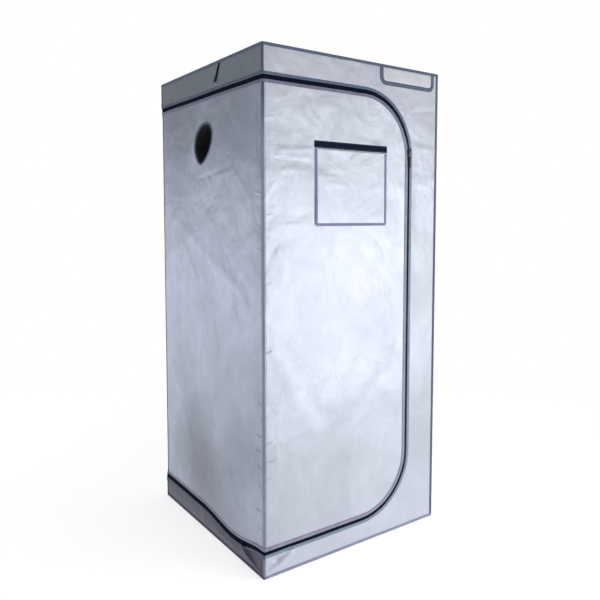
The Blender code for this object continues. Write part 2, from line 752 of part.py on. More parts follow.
def swaged_profile(length):
    """A tube with a narrow neck below its foot, which plugs into the tube under it."""
    inner = TUBE_RADIUS - TUBE_WALL
    neck = inner - SWAGE_CLEARANCE
    neck_inner = neck - TUBE_WALL
    shoulder = TUBE_WALL * 2
    return [
        (TUBE_RADIUS, length),
        (TUBE_RADIUS, 0),
        (neck, 0),
        (neck, -SWAGE_LENGTH),
        (neck_inner, -SWAGE_LENGTH),
        (neck_inner, shoulder),
        (inner, shoulder),
        (inner, length),
    ]


def make_frame():
    """Four posts in two sections, four top rails, four bottom rails and eight corner connectors."""
    connector = connector_mesh()
    split = LOW_RAIL_Z + (HIGH_RAIL_Z - LOW_RAIL_Z) * POST_SPLIT_SHARE
    post_foot = LOW_RAIL_Z + TUBE_START
    post_top = HIGH_RAIL_Z - TUBE_START
    lower = turned_mesh("lower_post", tube_profile(split - post_foot))
    upper = turned_mesh("upper_post", swaged_profile(post_top - split - GAP))
    corners = {"front_left": (-1, -1), "front_right": (1, -1), "rear_left": (-1, 1), "rear_right": (1, 1)}
    for corner, (side_x, side_y) in corners.items():
        x = side_x * POST_X
        y = side_y * POST_Y
        for level, z, rise in (("bottom", LOW_RAIL_Z, 1), ("top", HIGH_RAIL_Z, -1)):
            turn = Matrix.Diagonal((-side_x, -side_y, rise, 1))
            place = Matrix.Translation((x, y, z)) @ turn
            add_piece(f"connector_{level}_{corner}", connector, place, BLACK_PLASTIC)
        add_piece(f"post_lower_{corner}", lower, Matrix.Translation((x, y, post_foot)), STEEL_PAINT)
        add_piece(f"post_upper_{corner}", upper, Matrix.Translation((x, y, split + GAP)), STEEL_PAINT)

    half_x = POST_X - TUBE_START
    half_y = POST_Y - TUBE_START
    across = turned_mesh("cross_rail", tube_profile(2 * half_x))
    along = turned_mesh("side_rail", tube_profile(2 * half_y))
    to_x = Matrix.Rotation(radians(90), 4, "Y")
    to_y = Matrix.Rotation(radians(-90), 4, "X")
    for level, z in (("bottom", LOW_RAIL_Z), ("top", HIGH_RAIL_Z)):
        for side, sign in (("front", -1), ("rear", 1)):
            place = Matrix.Translation((-half_x, sign * POST_Y, z)) @ to_x
            add_piece(f"rail_{level}_{side}", across, place, STEEL_PAINT)
        for side, sign in (("left", -1), ("right", 1)):
            place = Matrix.Translation((sign * POST_X, -half_y, z)) @ to_y
            add_piece(f"rail_{level}_{side}", along, place, STEEL_PAINT)


def hook_outline(sign):
    """A hook over a side rail, in the (x, z) of the front wall. sign is the side that it is on."""
    inner = TUBE_RADIUS + HOOK_CLEARANCE
    outer = inner + HOOK_THICKNESS
    foot = -BAR_DROP - HOOK_FOOT
    end = 180 + HOOK_LAP_DEGREES
    centre = (0, 0)
    points = [(inner, foot), (outer, foot)]
    points += arc(centre, outer, 0, end, HOOK_STEPS)
    points += arc(centre, inner, end, 0, HOOK_STEPS)
    return [(sign * (POST_X - u), HIGH_RAIL_Z + v) for u, v in points]


def make_hanging_bar(name, y):
    """A bar across the tent that hooks over both side rails and slides along them."""
    track = hinge(f"{name}_track", (0, y, HIGH_RAIL_Z))
    end = POST_X - TUBE_RADIUS - HOOK_CLEARANCE - HOOK_THICKNESS / 2
    z = HIGH_RAIL_Z - BAR_DROP
    bar = add_piece(
        name, rod_mesh(name, (-end, y, z), (end, y, z), BAR_RADIUS, TUBE_STEPS), Matrix.Identity(4), STEEL_PAINT
    )
    w = -SKIN_Y - y
    hooks = []
    for sign in (-1, 1):
        low = w - HOOK_WIDTH / 2
        blank = plate(f"{name}_hook", "front", [hook_outline(sign)], low, low + HOOK_WIDTH, STEEL_PAINT)
        place = blank.matrix_world.copy()
        mesh = baked_mesh(blank, f"{name}_hook")
        weld = bmesh.new()
        weld.from_mesh(mesh)
        bmesh.ops.remove_doubles(weld, verts=weld.verts, dist=0.00001)
        bmesh.ops.transform(weld, matrix=place, verts=weld.verts)
        weld.to_mesh(mesh)
        weld.free()
        hooks.append(mesh)
    combine(bar, "UNION", hooks)
    carry(track, bar)


def make_floor_tray():
    """A shallow tray that lies loose on the floor between the bottom rails."""
    half_x = POST_X - SOCKET_RADIUS - TRAY_CLEARANCE
    half_y = POST_Y - SOCKET_RADIUS - TRAY_CLEARANCE
    low = CLOTH + GAP
    lift = hinge("floor_tray_lift", (0, 0, low))
    mesh = centred_box("floor_tray", half_x, half_y, low, low + TRAY_HEIGHT)
    shape = bmesh.new()
    shape.from_mesh(mesh)
    top = [f for f in shape.faces if f.normal.z > 0.5]
    bmesh.ops.delete(shape, geom=top, context="FACES_ONLY")
    shape.to_mesh(mesh)
    shape.free()
    tray = add_piece("floor_tray", mesh, Matrix.Identity(4), TRAY_CLOTH)
    wall = tray.modifiers.new("wall", "SOLIDIFY")
    wall.thickness = TRAY_WALL
    wall.offset = -1
    wall.use_even_offset = True
    carry(lift, tray)


joint_places = {}
clear_scene()
PARTS = new_collection("grow_tent")
CUTTERS = new_collection("cutters")
make_walls()
make_bindings()
make_frame_zip()
make_patch()
side_door_fold = make_side_door()
front_door_fold = make_front_door(side_door_fold)
make_window_flap(front_door_fold)
make_slider(front_door_fold)
make_tie_strap()
make_frame()
make_hanging_bar("hanging_bar_front", -BODY_DEPTH * BAR_PLACE_SHARE)
make_hanging_bar("hanging_bar_rear", BODY_DEPTH * BAR_PLACE_SHARE)
make_floor_tray()
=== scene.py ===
"""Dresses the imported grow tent: cloth, zip, tapes, fittings, finishes, light and camera."""
import logging
import math
from collections.abc import Callable, Iterable, Sequence
from dataclasses import dataclass, field
from enum import Enum
from functools import lru_cache

import bpy
import numpy as np
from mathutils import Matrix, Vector
from mathutils.geometry import delaunay_2d_cdt


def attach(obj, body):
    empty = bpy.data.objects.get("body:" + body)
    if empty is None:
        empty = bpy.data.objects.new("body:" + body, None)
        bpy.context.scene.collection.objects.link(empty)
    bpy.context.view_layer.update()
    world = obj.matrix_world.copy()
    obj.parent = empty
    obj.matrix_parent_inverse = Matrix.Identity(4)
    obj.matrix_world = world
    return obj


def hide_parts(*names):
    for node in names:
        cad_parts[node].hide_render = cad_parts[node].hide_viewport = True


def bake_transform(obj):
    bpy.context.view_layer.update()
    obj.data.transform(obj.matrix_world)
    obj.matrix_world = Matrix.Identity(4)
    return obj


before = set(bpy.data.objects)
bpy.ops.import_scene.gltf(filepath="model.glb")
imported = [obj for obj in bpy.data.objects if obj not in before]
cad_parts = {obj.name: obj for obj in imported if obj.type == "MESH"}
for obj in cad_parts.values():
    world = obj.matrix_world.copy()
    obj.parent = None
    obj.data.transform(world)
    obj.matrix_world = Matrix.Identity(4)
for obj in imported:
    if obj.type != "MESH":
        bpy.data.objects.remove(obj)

LOG = logging.getLogger("grow_tent")
Rows = np.ndarray
Piece = bpy.types.Object
Colour = tuple[float, float, float]
Place = tuple[float, float, float]
Pair = tuple[float, float]

BLACK: Colour = (0.0, 0.0, 0.0)
WHITE: Colour = (1.0, 1.0, 1.0)


def scaled(colour: Colour, share: float) -> Colour:
    """A colour made darker or lighter."""
    return tuple(c * share for c in colour)


# ---- shader maths


class Flow:
    """A socket's value. Python's operators carry it through Math, Mix and Vector Math nodes."""

    def __init__(self, shader: "Shader", socket: bpy.types.NodeSocket) -> None:
        """Wraps the socket of a node in the shader's tree."""
        self.shader = shader
        self.socket = socket

    def _join(self, operation: str, first: "Flow | float", second: "Flow | float") -> "Flow":
        """Adds the node that joins two values.

        Args:
            operation: the operation's name, which Math, Mix and Vector Math share.
            first: the left operand.
            second: the right operand.

        Returns:
            The result, of the kind that this value is.
        """
        if self.socket.type == "RGBA":
            return self.shader.mix(1.0, first, second, operation)
        kind = "ShaderNodeVectorMath" if self.socket.type == "VECTOR" else "ShaderNodeMath"
        return self.shader.flow(kind, {"operation": operation}, {0: first, 1: second})

    def __add__(self, other: "Flow | float") -> "Flow":
        """This value plus another."""
        return self._join("ADD", self, other)

    def __radd__(self, other: float) -> "Flow":
        """A number plus this value."""
        return self._join("ADD", other, self)

    def __sub__(self, other: "Flow | float") -> "Flow":
        """This value less another."""
        return self._join("SUBTRACT", self, other)

    def __rsub__(self, other: float) -> "Flow":
        """A number less this value, so that 1 - mask works."""
        return self._join("SUBTRACT", other, self)

    def __mul__(self, other: "Flow | float") -> "Flow":
        """This value times another."""
        return self._join("MULTIPLY", self, other)

    def __rmul__(self, other: float) -> "Flow":
        """A number times this value."""
        return self._join("MULTIPLY", other, self)

    def __abs__(self) -> "Flow":
        """This value without its sign."""
        return self._join("ABSOLUTE", self, 0.0)

    def least(self, other: "Flow | float") -> "Flow":
        """The smaller of this value and another."""
        return self._join("MINIMUM", self, other)


class Shader:
    """One material's node tree, with the node makers that the finishes use."""

    def __init__(self, name: str) -> None:
        """Makes an empty material with an output node.

        Args:
            name: the material's name.
        """
        self.material = bpy.data.materials.new(name)
        self.material.use_nodes = True
        self.tree = self.material.node_tree
        self.tree.nodes.clear()
        self.output = self.node("ShaderNodeOutputMaterial")

    def node(self, kind: str, settings: dict | None = None, values: dict | None = None) -> bpy.types.Node:
        """Makes any node.

        Args:
            kind: the node's type.
            settings: its properties, set first.
            values: its sockets by number or name, each a number, a colour, or a Flow or socket to link.

        Returns:
            The new node.
        """
        made = self.tree.nodes.new(kind)
        for key, setting in (settings or {}).items():
            setattr(made, key, setting)
        for key, value in (values or {}).items():
            if isinstance(value, (Flow, bpy.types.NodeSocket)):
                self.tree.links.new(value.socket if isinstance(value, Flow) else value, made.inputs[key])
            else:
                made.inputs[key].default_value = value
        return made

    def flow(self, kind: str, settings: dict | None, values: dict, output: int | str = 0) -> Flow:
        """Makes a node and wraps one of its outputs."""
        return Flow(self, self.node(kind, settings, values).outputs[output])

    def as_colour(self, value: Flow | float | Colour) -> Flow | tuple:
        """A grey or a colour as the four numbers that a colour socket takes. A Flow stays as it is."""
        three = (value,) * 3 if isinstance(value, (int, float)) else value
        return value if isinstance(value, Flow) else (*three[:3], 1.0)

    def place(self, scale: Place = (1, 1, 1), turn: Place = (0, 0, 0)) -> Flow:
        """The point on the object in metres, stretched and then turned, in radians."""
        source = self.node("ShaderNodeTexCoord").outputs["Object"]
        return self.flow("ShaderNodeMapping", None, {"Vector": source, "Scale": scale, "Rotation": turn})

    def parts(self, vector: Flow | bpy.types.NodeSocket, *which: int) -> list[Flow]:
        """Some of a vector's three parts."""
        node = self.node("ShaderNodeSeparateXYZ", None, {0: vector})
        return [Flow(self, node.outputs[k]) for k in which]

    def run(self) -> list[Flow]:
        """The way along and across a strip or wall in metres, which its mesh carries."""
        return self.parts(self.node("ShaderNodeUVMap", {"uv_map": "run"}).outputs[0], 0, 1)

    def noise(
        self, at: Flow, scale: float, detail: float = 2.0, rough: float = 0.5, warp: float = 0.0
    ) -> Flow:
        """Soft noise from 0 to 1, with scale cells to the metre."""
        values = {"Vector": at, "Scale": scale, "Detail": detail, "Roughness": rough, "Distortion": warp}
        return self.flow("ShaderNodeTexNoise", None, values, "Fac")

    def cells(self, at: Flow, scale: float) -> Flow:
        """The distance to the nearest edge of a net of cells, which makes sharp creases."""
        values = {"Vector": at, "Scale": scale}
        return self.flow("ShaderNodeTexVoronoi", {"feature": "DISTANCE_TO_EDGE"}, values, "Distance")

    def distance(self, at: Flow, place: Place) -> Flow:
        """The distance in metres to a place."""
        return self.flow("ShaderNodeVectorMath", {"operation": "DISTANCE"}, {0: at, 1: place}, "Value")

    def wave(self, at: Flow, pitch: float) -> Flow:
        """A sine from 0 to 1 with the given pitch in metres along a value."""
        return self.flow("ShaderNodeMath", {"operation": "SINE"}, {0: at * (2 * math.pi / pitch)}) * 0.5 + 0.5

    def ramp(self, value: Flow, low: float, high: float) -> Flow:
        """A value carried from low..high to 0..1 in a soft step."""
        values = {"Value": value, "From Min": low, "From Max": high}
        return self.flow("ShaderNodeMapRange", {"interpolation_type": "SMOOTHSTEP", "clamp": True}, values)

    def mix(self, factor: Flow | float, low: Flow | Colour, high: Flow | Colour, blend: str = "MIX") -> Flow:
        """A colour between two, by a factor, or another blend of them."""
        values = {0: factor, 6: self.as_colour(low), 7: self.as_colour(high)}
        return self.flow("ShaderNodeMix", {"data_type": "RGBA", "blend_type": blend}, values, 2)

    def bump(self, height: Flow, distance: float, under: Flow | None = None) -> Flow:
        """A height from 0 to 1 as a normal, laid on another. Distance is what a height of 1 is in metres."""
        values = {"Height": height, "Distance": distance, "Strength": 1.0}
        return self.flow("ShaderNodeBump", None, values | ({"Normal": under} if under else {}))

    def weave(self, pitch: float) -> Flow:
        """The heights of a plain weave: threads over and under, on the wall's own run."""
        along, across = self.run()
        return self.wave(along, pitch) * self.wave(across, pitch)

    def close(self, surface: bpy.types.Node) -> bpy.types.Material:
        """Links the last shader to the output."""
        self.tree.links.new(surface.outputs[0], self.output.inputs[0])
        return self.material


# ---- finishes


@dataclass(frozen=True)
class Finish:
    """A named finish, which becomes a material when it is first asked for."""

    name: str

    @lru_cache(maxsize=None)
    def material(self) -> bpy.types.Material:
        """The finish's one material."""
        s = Shader(self.name)
        return s.close(self.surface(s))

    def surface(self, s: Shader) -> bpy.types.Node:
        """The finish's surface shader with its socket values."""
        return s.node("ShaderNodeBsdfPrincipled", None, self.sockets(s))

    def sockets(self, s: Shader) -> dict:
        """The surface shader's values by socket, which each finish gives."""
        raise NotImplementedError


@dataclass(frozen=True)
class SilverCloth(Finish):
    """Coated silver nylon: a fine weave under a satin film, softly crinkled."""

    name: str = "silver_cloth"
    colour: Colour = (0.66, 0.7, 0.8)
    # shade scales the cloth's whole tone; below 1 it is painted shade, a darker copy of the same cloth where
    # less light falls.
    shade: float = 1.0
    rough: float = 0.42
    metal: float = 0.36
    thread: float = 0.0011
    cloud: float = 0.9
    # spots: places, reaches and shares of soft dark patches of painted shade.
    spots: tuple[tuple[Place, float, float], ...] = ()

    def sockets(self, s: Shader) -> dict:
        """The cloth's clouds and rubs, its soft dark spots of painted shade, and its billows, creases and
        weave as bump.

        Args:
            s: the material's nodes.

        Returns:
            The values by socket.
        """
        at = s.place()
        clouds = s.noise(at, 3.1, 3.0, 0.55)
        streaks = s.noise(s.place((1.0, 1.0, 0.5)), 9.0, 3.0, 0.55, 0.9)
        rubs = s.ramp(s.noise(at, 22.0, 4.0, 0.62), 0.52, 0.78)
        # The shade factor goes into both tones, so a shade below 1 darkens the cloth as painted shade.
        full = scaled(self.colour, self.shade)
        low = tuple(c * self.shade * self.cloud for c in (*self.colour[:2], self.colour[2] * 1.02))
        tone = s.mix(s.ramp(clouds * 0.7 + streaks * 0.3, 0.34, 0.64), low, full)
        tone = s.mix(rubs * 0.16, tone, tuple(min(1.0, c) for c in scaled(full, 1.1)))
        patches = s.ramp(s.noise(at, 12.0, 2.0, 0.5, 0.7), 0.4, 0.62)
        tone = s.mix(patches * 0.45, tone, low)
        # Painted shade: each spot darkens the cloth round a given place, towards 0.45 of its tone.
        for place, reach, share in self.spots:
            near = 1 - s.ramp(s.distance(at, place) + clouds * reach * 1.1, reach * 0.45, reach * 1.65)
            tone = s.mix(near * share, tone, scaled(full, 0.45))
        folds = 1 - s.ramp(s.cells(s.place((1, 1, 0.8), (0.3, 0.2, 0.5)), 17.0), 0.0, 0.16)
        fine = s.noise(at, 95.0, 3.0, 0.6, 0.3)
        normal = s.bump(s.noise(at, 7.0, 2.0, 0.5, 0.6), 0.007)
        normal = s.bump(s.noise(at, 24.0, 3.0, 0.5, 0.8), 0.0011, normal)
        normal = s.bump(folds * s.ramp(s.noise(at, 6.0), 0.5, 0.7), 0.0004, normal)
        normal = s.bump(fine, 0.00018, normal)
        return {"Base Color": tone, "Roughness": (fine * 0.1 + clouds * 0.08) + (self.rough - 0.09),
                "Metallic": self.metal, "Normal": s.bump(s.weave(self.thread), 0.00006, normal),
                "Sheen Weight": 0.08, "Sheen Roughness": 0.4, "Specular IOR Level": 0.5}


@dataclass(frozen=True)
class MirrorLining(Finish):
    """The inside of the walls: silvered film, pressed in small diamonds."""

    name: str = "mirror_lining"
    colour: Colour = (0.86, 0.87, 0.89)
    diamond: float = 0.006

    def sockets(self, s: Shader) -> dict:
        """The film's haze, its soft dents and its diamonds.

        Args:
            s: the material's nodes.

        Returns:
            The values by socket.
        """
        along, across = s.run()
        one, two = (abs(s.wave(way, self.diamond * 2) - 0.5) for way in (along + across, along - across))
        at = s.place()
        normal = s.bump(s.noise(at, 9.0, 2.0, 0.5, 0.6), 0.004)
        normal = s.bump(s.noise(at, 42.0, 2.0, 0.5, 0.5), 0.0005, normal)
        haze = s.noise(at, 14.0, 4.0, 0.6)
        return {"Base Color": s.mix(haze, self.colour, scaled(self.colour, 0.9)), "Metallic": 0.8,
                "Roughness": haze * 0.12 + 0.3, "Normal": s.bump(one.least(two), 0.0004, normal)}


@dataclass(frozen=True)
class RibbedTape(Finish):
    """Woven binding tape with fine ribs across it, a little worn on its crown."""

    colour: Colour
    rib: float = 0.0014
    rough: float = 0.72
    sheen: float = 0.1
    # The low colour is the tape made lighter below 1.46 m, painted light; the left colour is the tape made
    # darker on the left wall, painted shade.
    painted_light_low_colour: Colour | None = None
    painted_shade_left_colour: Colour | None = None
    shine: float = 0.25

    def sockets(self, s: Shader) -> dict:
        """The tape's ribs, fibre and wear, its painted light low down and its painted shade on the left wall.

        Args:
            s: the material's nodes.

        Returns:
            The values by socket.
        """
        at = s.place()
        along = s.run()[0]
        ribs = s.wave(along, self.rib)
        fibre = s.noise(at, 420.0, 2.0, 0.6)
        wear = s.ramp(s.noise(at, 26.0, 4.0, 0.6), 0.45, 0.75)
        share = s.noise(at, 5.0, 3.0) * 0.28 + wear * 0.22 + ribs * 0.2 + 0.62
        full = self.colour
        # Painted light and shade: lighter below 1.46 m and darker above 1.66 m, darker again on the left
        # wall.
        if self.painted_light_low_colour is not None:
            full = s.mix(s.ramp(s.parts(at, 2)[0], 1.46, 1.66), self.painted_light_low_colour, full)
        if self.painted_shade_left_colour is not None:
            full = s.mix(s.ramp(s.parts(at, 0)[0], -0.4086, -0.403), self.painted_shade_left_colour, full)
        normal = s.bump(s.noise(at, 60.0, 2.0, 0.5, 0.4), 0.0008)
        normal = s.bump(fibre, 0.00012, s.bump(ribs, 0.00018, normal))
        return {"Base Color": s.mix(share, BLACK, WHITE) * full,
                "Roughness": fibre * 0.14 + (self.rough - 0.07), "Normal": normal,
                "Sheen Weight": self.sheen, "Sheen Roughness": 0.5, "Specular IOR Level": self.shine}


@dataclass(frozen=True)
class TwillWebbing(Finish):
    """Heavy black webbing with a herringbone twill."""

    name: str = "black_webbing"
    colour: Colour = (0.0036, 0.0098, 0.026)
    twill: float = 0.0024

    def sockets(self, s: Shader) -> dict:
        """The webbing's twill, fibre and dust.

        Args:
            s: the material's nodes.

        Returns:
            The values by socket.
        """
        at = s.place()
        along, across = s.run()
        chevron = abs(s.wave(across, 0.012) - 0.5) * 0.01
        ribs = s.wave(along + chevron, self.twill)
        fibre = s.noise(at, 500.0, 2.0, 0.6)
        dust = s.ramp(s.noise(at, 30.0, 4.0, 0.6), 0.5, 0.8)
        return {"Base Color": s.mix(ribs * 0.5 + dust * 0.3, self.colour, scaled(self.colour, 1.8)),
                "Roughness": fibre * 0.12 + 0.66, "Normal": s.bump(fibre, 0.00015, s.bump(ribs, 0.00035)),
                "Specular IOR Level": 0.1}


@dataclass(frozen=True)
class LimpNylon(Finish):
    """Thin black nylon of the duct sleeve and the floor tray, with a soft crinkle."""

    colour: Colour = (0.012, 0.013, 0.017)
    rough: float = 0.5

    def sockets(self, s: Shader) -> dict:
        """The nylon's crinkle, weave and dust.

        Args:
            s: the material's nodes.

        Returns:
            The values by socket.
        """
        at = s.place()
        crinkle = s.noise(at, 38.0, 4.0, 0.6, 0.9)
        dust = s.ramp(s.noise(at, 11.0, 4.0, 0.6), 0.46, 0.78)
        dusty = tuple(c * 2.0 + 0.01 for c in self.colour)
        return {"Base Color": s.mix(dust * 0.5, self.colour, dusty),
                "Roughness": crinkle * 0.16 + (self.rough - 0.08),
                "Normal": s.bump(s.weave(0.0012), 0.0001, s.bump(crinkle, 0.0016)),
                "Sheen Weight": 0.1, "Sheen Roughness": 0.4, "Specular IOR Level": 0.45}


@dataclass(frozen=True)
class GreenFilm(Finish):
    """The clear green window sheet that cuts the lamp's glare."""

    name: str = "window_film"
    colour: Colour = (0.28, 0.52, 0.34)

    def sockets(self, s: Shader) -> dict:
        """The film's tint and its slow swirls.

        Args:
            s: the material's nodes.

        Returns:
            The values by socket.
        """
        swirl = s.noise(s.place(), 16.0, 3.0, 0.5, 0.8)
        return {"Base Color": s.mix(swirl, self.colour, scaled(self.colour, 0.85)), "Alpha": 0.62,
                "Roughness": swirl * 0.06 + 0.08, "Normal": s.bump(swirl, 0.0012), "Specular IOR Level": 0.6}


@dataclass(frozen=True)
class Hard(Finish):
    """Painted steel, moulded plastic or cast zinc: specks, faint brushing and rubbed spots."""

    colour: Colour
    worn: Colour
    rough: float
    metal: float = 0.0
    grain: float = 0.00008
    coat: float = 0.0
    shine: float = 0.5

    def sockets(self, s: Shader) -> dict:
        """The clouds and rubbed spots, and the peel and brushing as bump.

        Args:
            s: the material's nodes.

        Returns:
            The values by socket.
        """
        at = s.place()
        clouds = s.noise(at, 24.0, 4.0, 0.6)
        brushed = s.noise(s.place((1.0, 1.0, 0.08)), 900.0, 2.0, 0.6)
        peel = s.noise(at, 700.0, 2.0, 0.5)
        rubs = s.ramp(s.noise(at, 120.0, 5.0, 0.65), 0.6, 0.8)
        tone = s.mix(clouds, scaled(self.colour, 0.9), self.colour)
        return {"Base Color": s.mix(rubs * 0.55, tone, self.worn),
                "Roughness": (clouds * 0.12 + rubs * 0.08) + (self.rough - 0.08),
                "Metallic": self.metal, "Normal": s.bump(peel * 0.7 + brushed * 0.3, self.grain),
                "Coat Weight": self.coat, "Coat Roughness": 0.2, "Specular IOR Level": self.shine}


@dataclass(frozen=True)
class Thread(Finish):
    """Twisted sewing thread."""

    colour: Colour

    def sockets(self, s: Shader) -> dict:
        """The thread's twist.

        Args:
            s: the material's nodes.

        Returns:
            The values by socket.
        """
        twist = s.noise(s.place((1, 1, 1), (0.6, 0.6, 0.6)), 1400.0, 1.0)
        return {"Base Color": s.mix(twist, scaled(self.colour, 0.7), self.colour), "Roughness": 0.75,
                "Normal": s.bump(twist, 0.0001)}


@dataclass(frozen=True)
class StudioPaper(Finish):
    """The pale seamless floor, which fades into the backdrop."""

    name: str = "studio_paper"
    colour: Colour = (0.86, 0.86, 0.86)

    def surface(self, s: Shader) -> bpy.types.Node:
        """The paper round the tent, mixed into a plain white glow further off.

        Args:
            s: the material's nodes.

        Returns:
            The shader node.
        """
        at = s.place()
        tone = s.mix(s.noise(at, 60.0, 3.0), scaled(self.colour, 0.985), self.colour)
        paper = s.node("ShaderNodeBsdfPrincipled", None, {
            "Base Color": tone, "Roughness": 0.85, "Specular IOR Level": 0.1,
            "Emission Color": (*WHITE, 1.0), "Emission Strength": 0.66})
        glow = s.node("ShaderNodeEmission", None, {"Color": (*WHITE, 1.0), "Strength": 1.0})
        far = s.ramp(s.distance(at, (0.0, 0.0, 0.0)), 0.7, 2.8)
        return s.node("ShaderNodeMixShader", None, {0: far, 1: paper.outputs[0], 2: glow.outputs[0]})


# One silver cloth in lit and shaded copies: the lower shade of the surround, side, header and sill copies,
# and every list of spots, are painted shade.
FRONT_CLOTH = SilverCloth(cloud=0.86, spots=(
    ((-0.3, -0.41, 0.24), 0.36, 0.34), ((0.12, -0.41, 0.22), 0.32, 0.26), ((0.2, -0.41, 0.95), 0.26, 0.22),
    ((0.02, -0.41, 0.52), 0.28, 0.16), ((-0.02, -0.41, 1.36), 0.24, 0.16)))
SURROUND_CLOTH_PAINTED_SHADE = SilverCloth("silver_cloth_surround", shade=0.93, spots=(
    ((0.34, -0.41, 0.98), 0.48, 0.32), ((0.34, -0.41, 0.36), 0.42, 0.28)))
SIDE_CLOTH_PAINTED_SHADE = SilverCloth("silver_cloth_side", (0.63, 0.69, 0.86), shade=0.81, cloud=0.78, spots=(
    ((-0.41, 0.24, 1.66), 0.36, 0.42), ((-0.41, -0.16, 1.6), 0.26, 0.26), ((-0.41, 0.06, 0.24), 0.34, 0.98),
    ((-0.41, -0.3, 0.36), 0.24, 0.42), ((-0.41, 0.22, 0.62), 0.2, 0.26)))
HEADER_CLOTH_PAINTED_SHADE = SilverCloth("silver_cloth_header", (0.62, 0.7, 0.82), shade=0.46, rough=0.36)
SILL_CLOTH_PAINTED_SHADE = SilverCloth("silver_cloth_sill", (0.61, 0.62, 0.98), shade=0.125, rough=0.45, metal=0.1)
PATCH_CLOTH = SilverCloth("silver_cloth_patch", (0.7, 0.73, 0.8), 1.0, 0.36, 0.15)
LINING = MirrorLining()
BLUE_TAPE = RibbedTape("blue_tape", (0.115, 0.15, 0.225))
PURPLE_TAPE = RibbedTape("purple_tape", (0.135, 0.132, 0.225))
# The low colours below are painted light low down, and the left colours are painted shade on the left wall.
ZIP_OUTER = RibbedTape("zip_outer_tape", (0.125, 0.17, 0.255), painted_light_low_colour=(0.28, 0.37, 0.475),
                       painted_shade_left_colour=(0.12, 0.16, 0.235))
ZIP_INNER = RibbedTape("zip_inner_tape", (0.215, 0.21, 0.31), painted_light_low_colour=(0.4, 0.375, 0.5))
TRIM_TAPE = RibbedTape("trim_tape", (0.27, 0.29, 0.48))
# The bottom binding's tape is the purple tape made lighter: painted light from below.
FOOT_TAPE_PAINTED_LIGHT = RibbedTape("foot_tape", (0.38, 0.4, 0.58), painted_shade_left_colour=(0.085, 0.08, 0.165))
CORNER_TAPE = RibbedTape("corner_tape", (0.12, 0.125, 0.2), painted_light_low_colour=(0.34, 0.35, 0.52))
ZIP_TAPE = RibbedTape("zip_tape", (0.0034, 0.0085, 0.025), 0.0012, 0.92, 0.0, shine=0.05)
ZIP_COIL = Hard("zip_coil", (0.003, 0.0075, 0.022), (0.005, 0.011, 0.028), 0.74, shine=0.1)
WEBBING = TwillWebbing()
SLEEVE_CLOTH = LimpNylon("sleeve_cloth")
TRAY_CLOTH = LimpNylon("tray_cloth", (0.022, 0.023, 0.028), 0.56)
FLOOR_CLOTH = LimpNylon("floor_cloth", (0.026, 0.027, 0.032), 0.62)
FILM = GreenFilm()
WHITE_STEEL = Hard("white_steel", (0.8, 0.81, 0.82), (0.6, 0.61, 0.62), 0.36, coat=0.2)
BLACK_PLASTIC = Hard(
    "black_plastic", (0.009, 0.01, 0.014), (0.024, 0.025, 0.03), 0.5, grain=0.00012, shine=0.3)
ZINC = Hard("slider_metal", (0.016, 0.026, 0.032), (0.07, 0.09, 0.1), 0.46, 0.35, shine=0.25)
# The bridge's lighter zinc is a painted highlight on the slider's crown.
ZINC_PAINTED_HIGHLIGHT = Hard("slider_bridge_metal", (0.22, 0.28, 0.27), (0.42, 0.48, 0.46), 0.34, 0.75)
BLUE_THREAD = Thread("blue_thread", (0.14, 0.17, 0.25))
TRIM_THREAD = Thread("trim_thread", (0.3, 0.31, 0.44))
PALE_THREAD = Thread("pale_thread", (0.42, 0.43, 0.5))


# ---- the cabinet's surface


@dataclass(frozen=True)
class Plan:
    """The cabinet's own sizes in metres, as the solids have them."""

    skin: float = 0.4085
    top: float = 1.7985
    middle: float = 0.9
    side_end: float = 0.4072
    cloth: float = 0.001
    zip_top: float = 1.69
    zip_bottom: float = 0.092
    zip_x: float = 0.252
    zip_radius: float = 0.225
    half_slot: float = 0.001
    post: float = 0.3947
    low_rail: float = 0.0138
    high_rail: float = 1.7847
    points_across: int = 104


PLAN = Plan()


class Wall(Enum):
    """The walls, each with its own u to the right, v up and w outwards."""

    FRONT = "front"
    RIGHT = "right"
    BACK = "back"
    LEFT = "left"
    ROOF = "roof"
    FLOOR = "floor"


class Noise:
    """Smooth seeded noise over a plane, from about -1 to 1."""

    def __init__(self, seed: int, size: int = 64) -> None:
        """Fills the table of slopes.

        Args:
            seed: the seed of the slopes' directions.
            size: how many cells pass before the noise repeats.
        """
        self.size = size
        angles = np.random.default_rng(seed).random((size, size)) * 2 * math.pi
        self.slope_x = np.cos(angles)
        self.slope_y = np.sin(angles)

    def __call__(self, x: Rows, y: Rows) -> Rows:
        """The noise at points.

        Args:
            x: how far right they are, in cells.
            y: how far up they are, in cells.

        Returns:
            The noise at each.
        """
        cell_x = np.floor(x).astype(int)
        cell_y = np.floor(y).astype(int)
        part_x, part_y = x - cell_x, y - cell_y
        ease_x, ease_y = (part**3 * (part * (part * 6 - 15) + 10) for part in (part_x, part_y))

        def corner(i: int, j: int) -> Rows:
            """The slope of one corner, carried to the point."""
            row, column = (cell_x + i) % self.size, (cell_y + j) % self.size
            return self.slope_x[row, column] * (part_x - i) + self.slope_y[row, column] * (part_y - j)

        low = corner(0, 0) * (1 - ease_x) + corner(1, 0) * ease_x
        high = corner(0, 1) * (1 - ease_x) + corner(1, 1) * ease_x
        return 1.5 * (low * (1 - ease_y) + high * ease_y)


def soft_step(value: Rows, low: float, high: float) -> Rows:
    """A smooth step from 0 at low to 1 at high."""
    share = np.clip((value - low) / (high - low), 0, 1)
    return share * share * (3 - 2 * share)


def bell(distance: Rows, reach: float) -> Rows:
    """A hump that is 1 at no distance and dies away over reach."""
    return np.exp(-((distance / reach) ** 2))


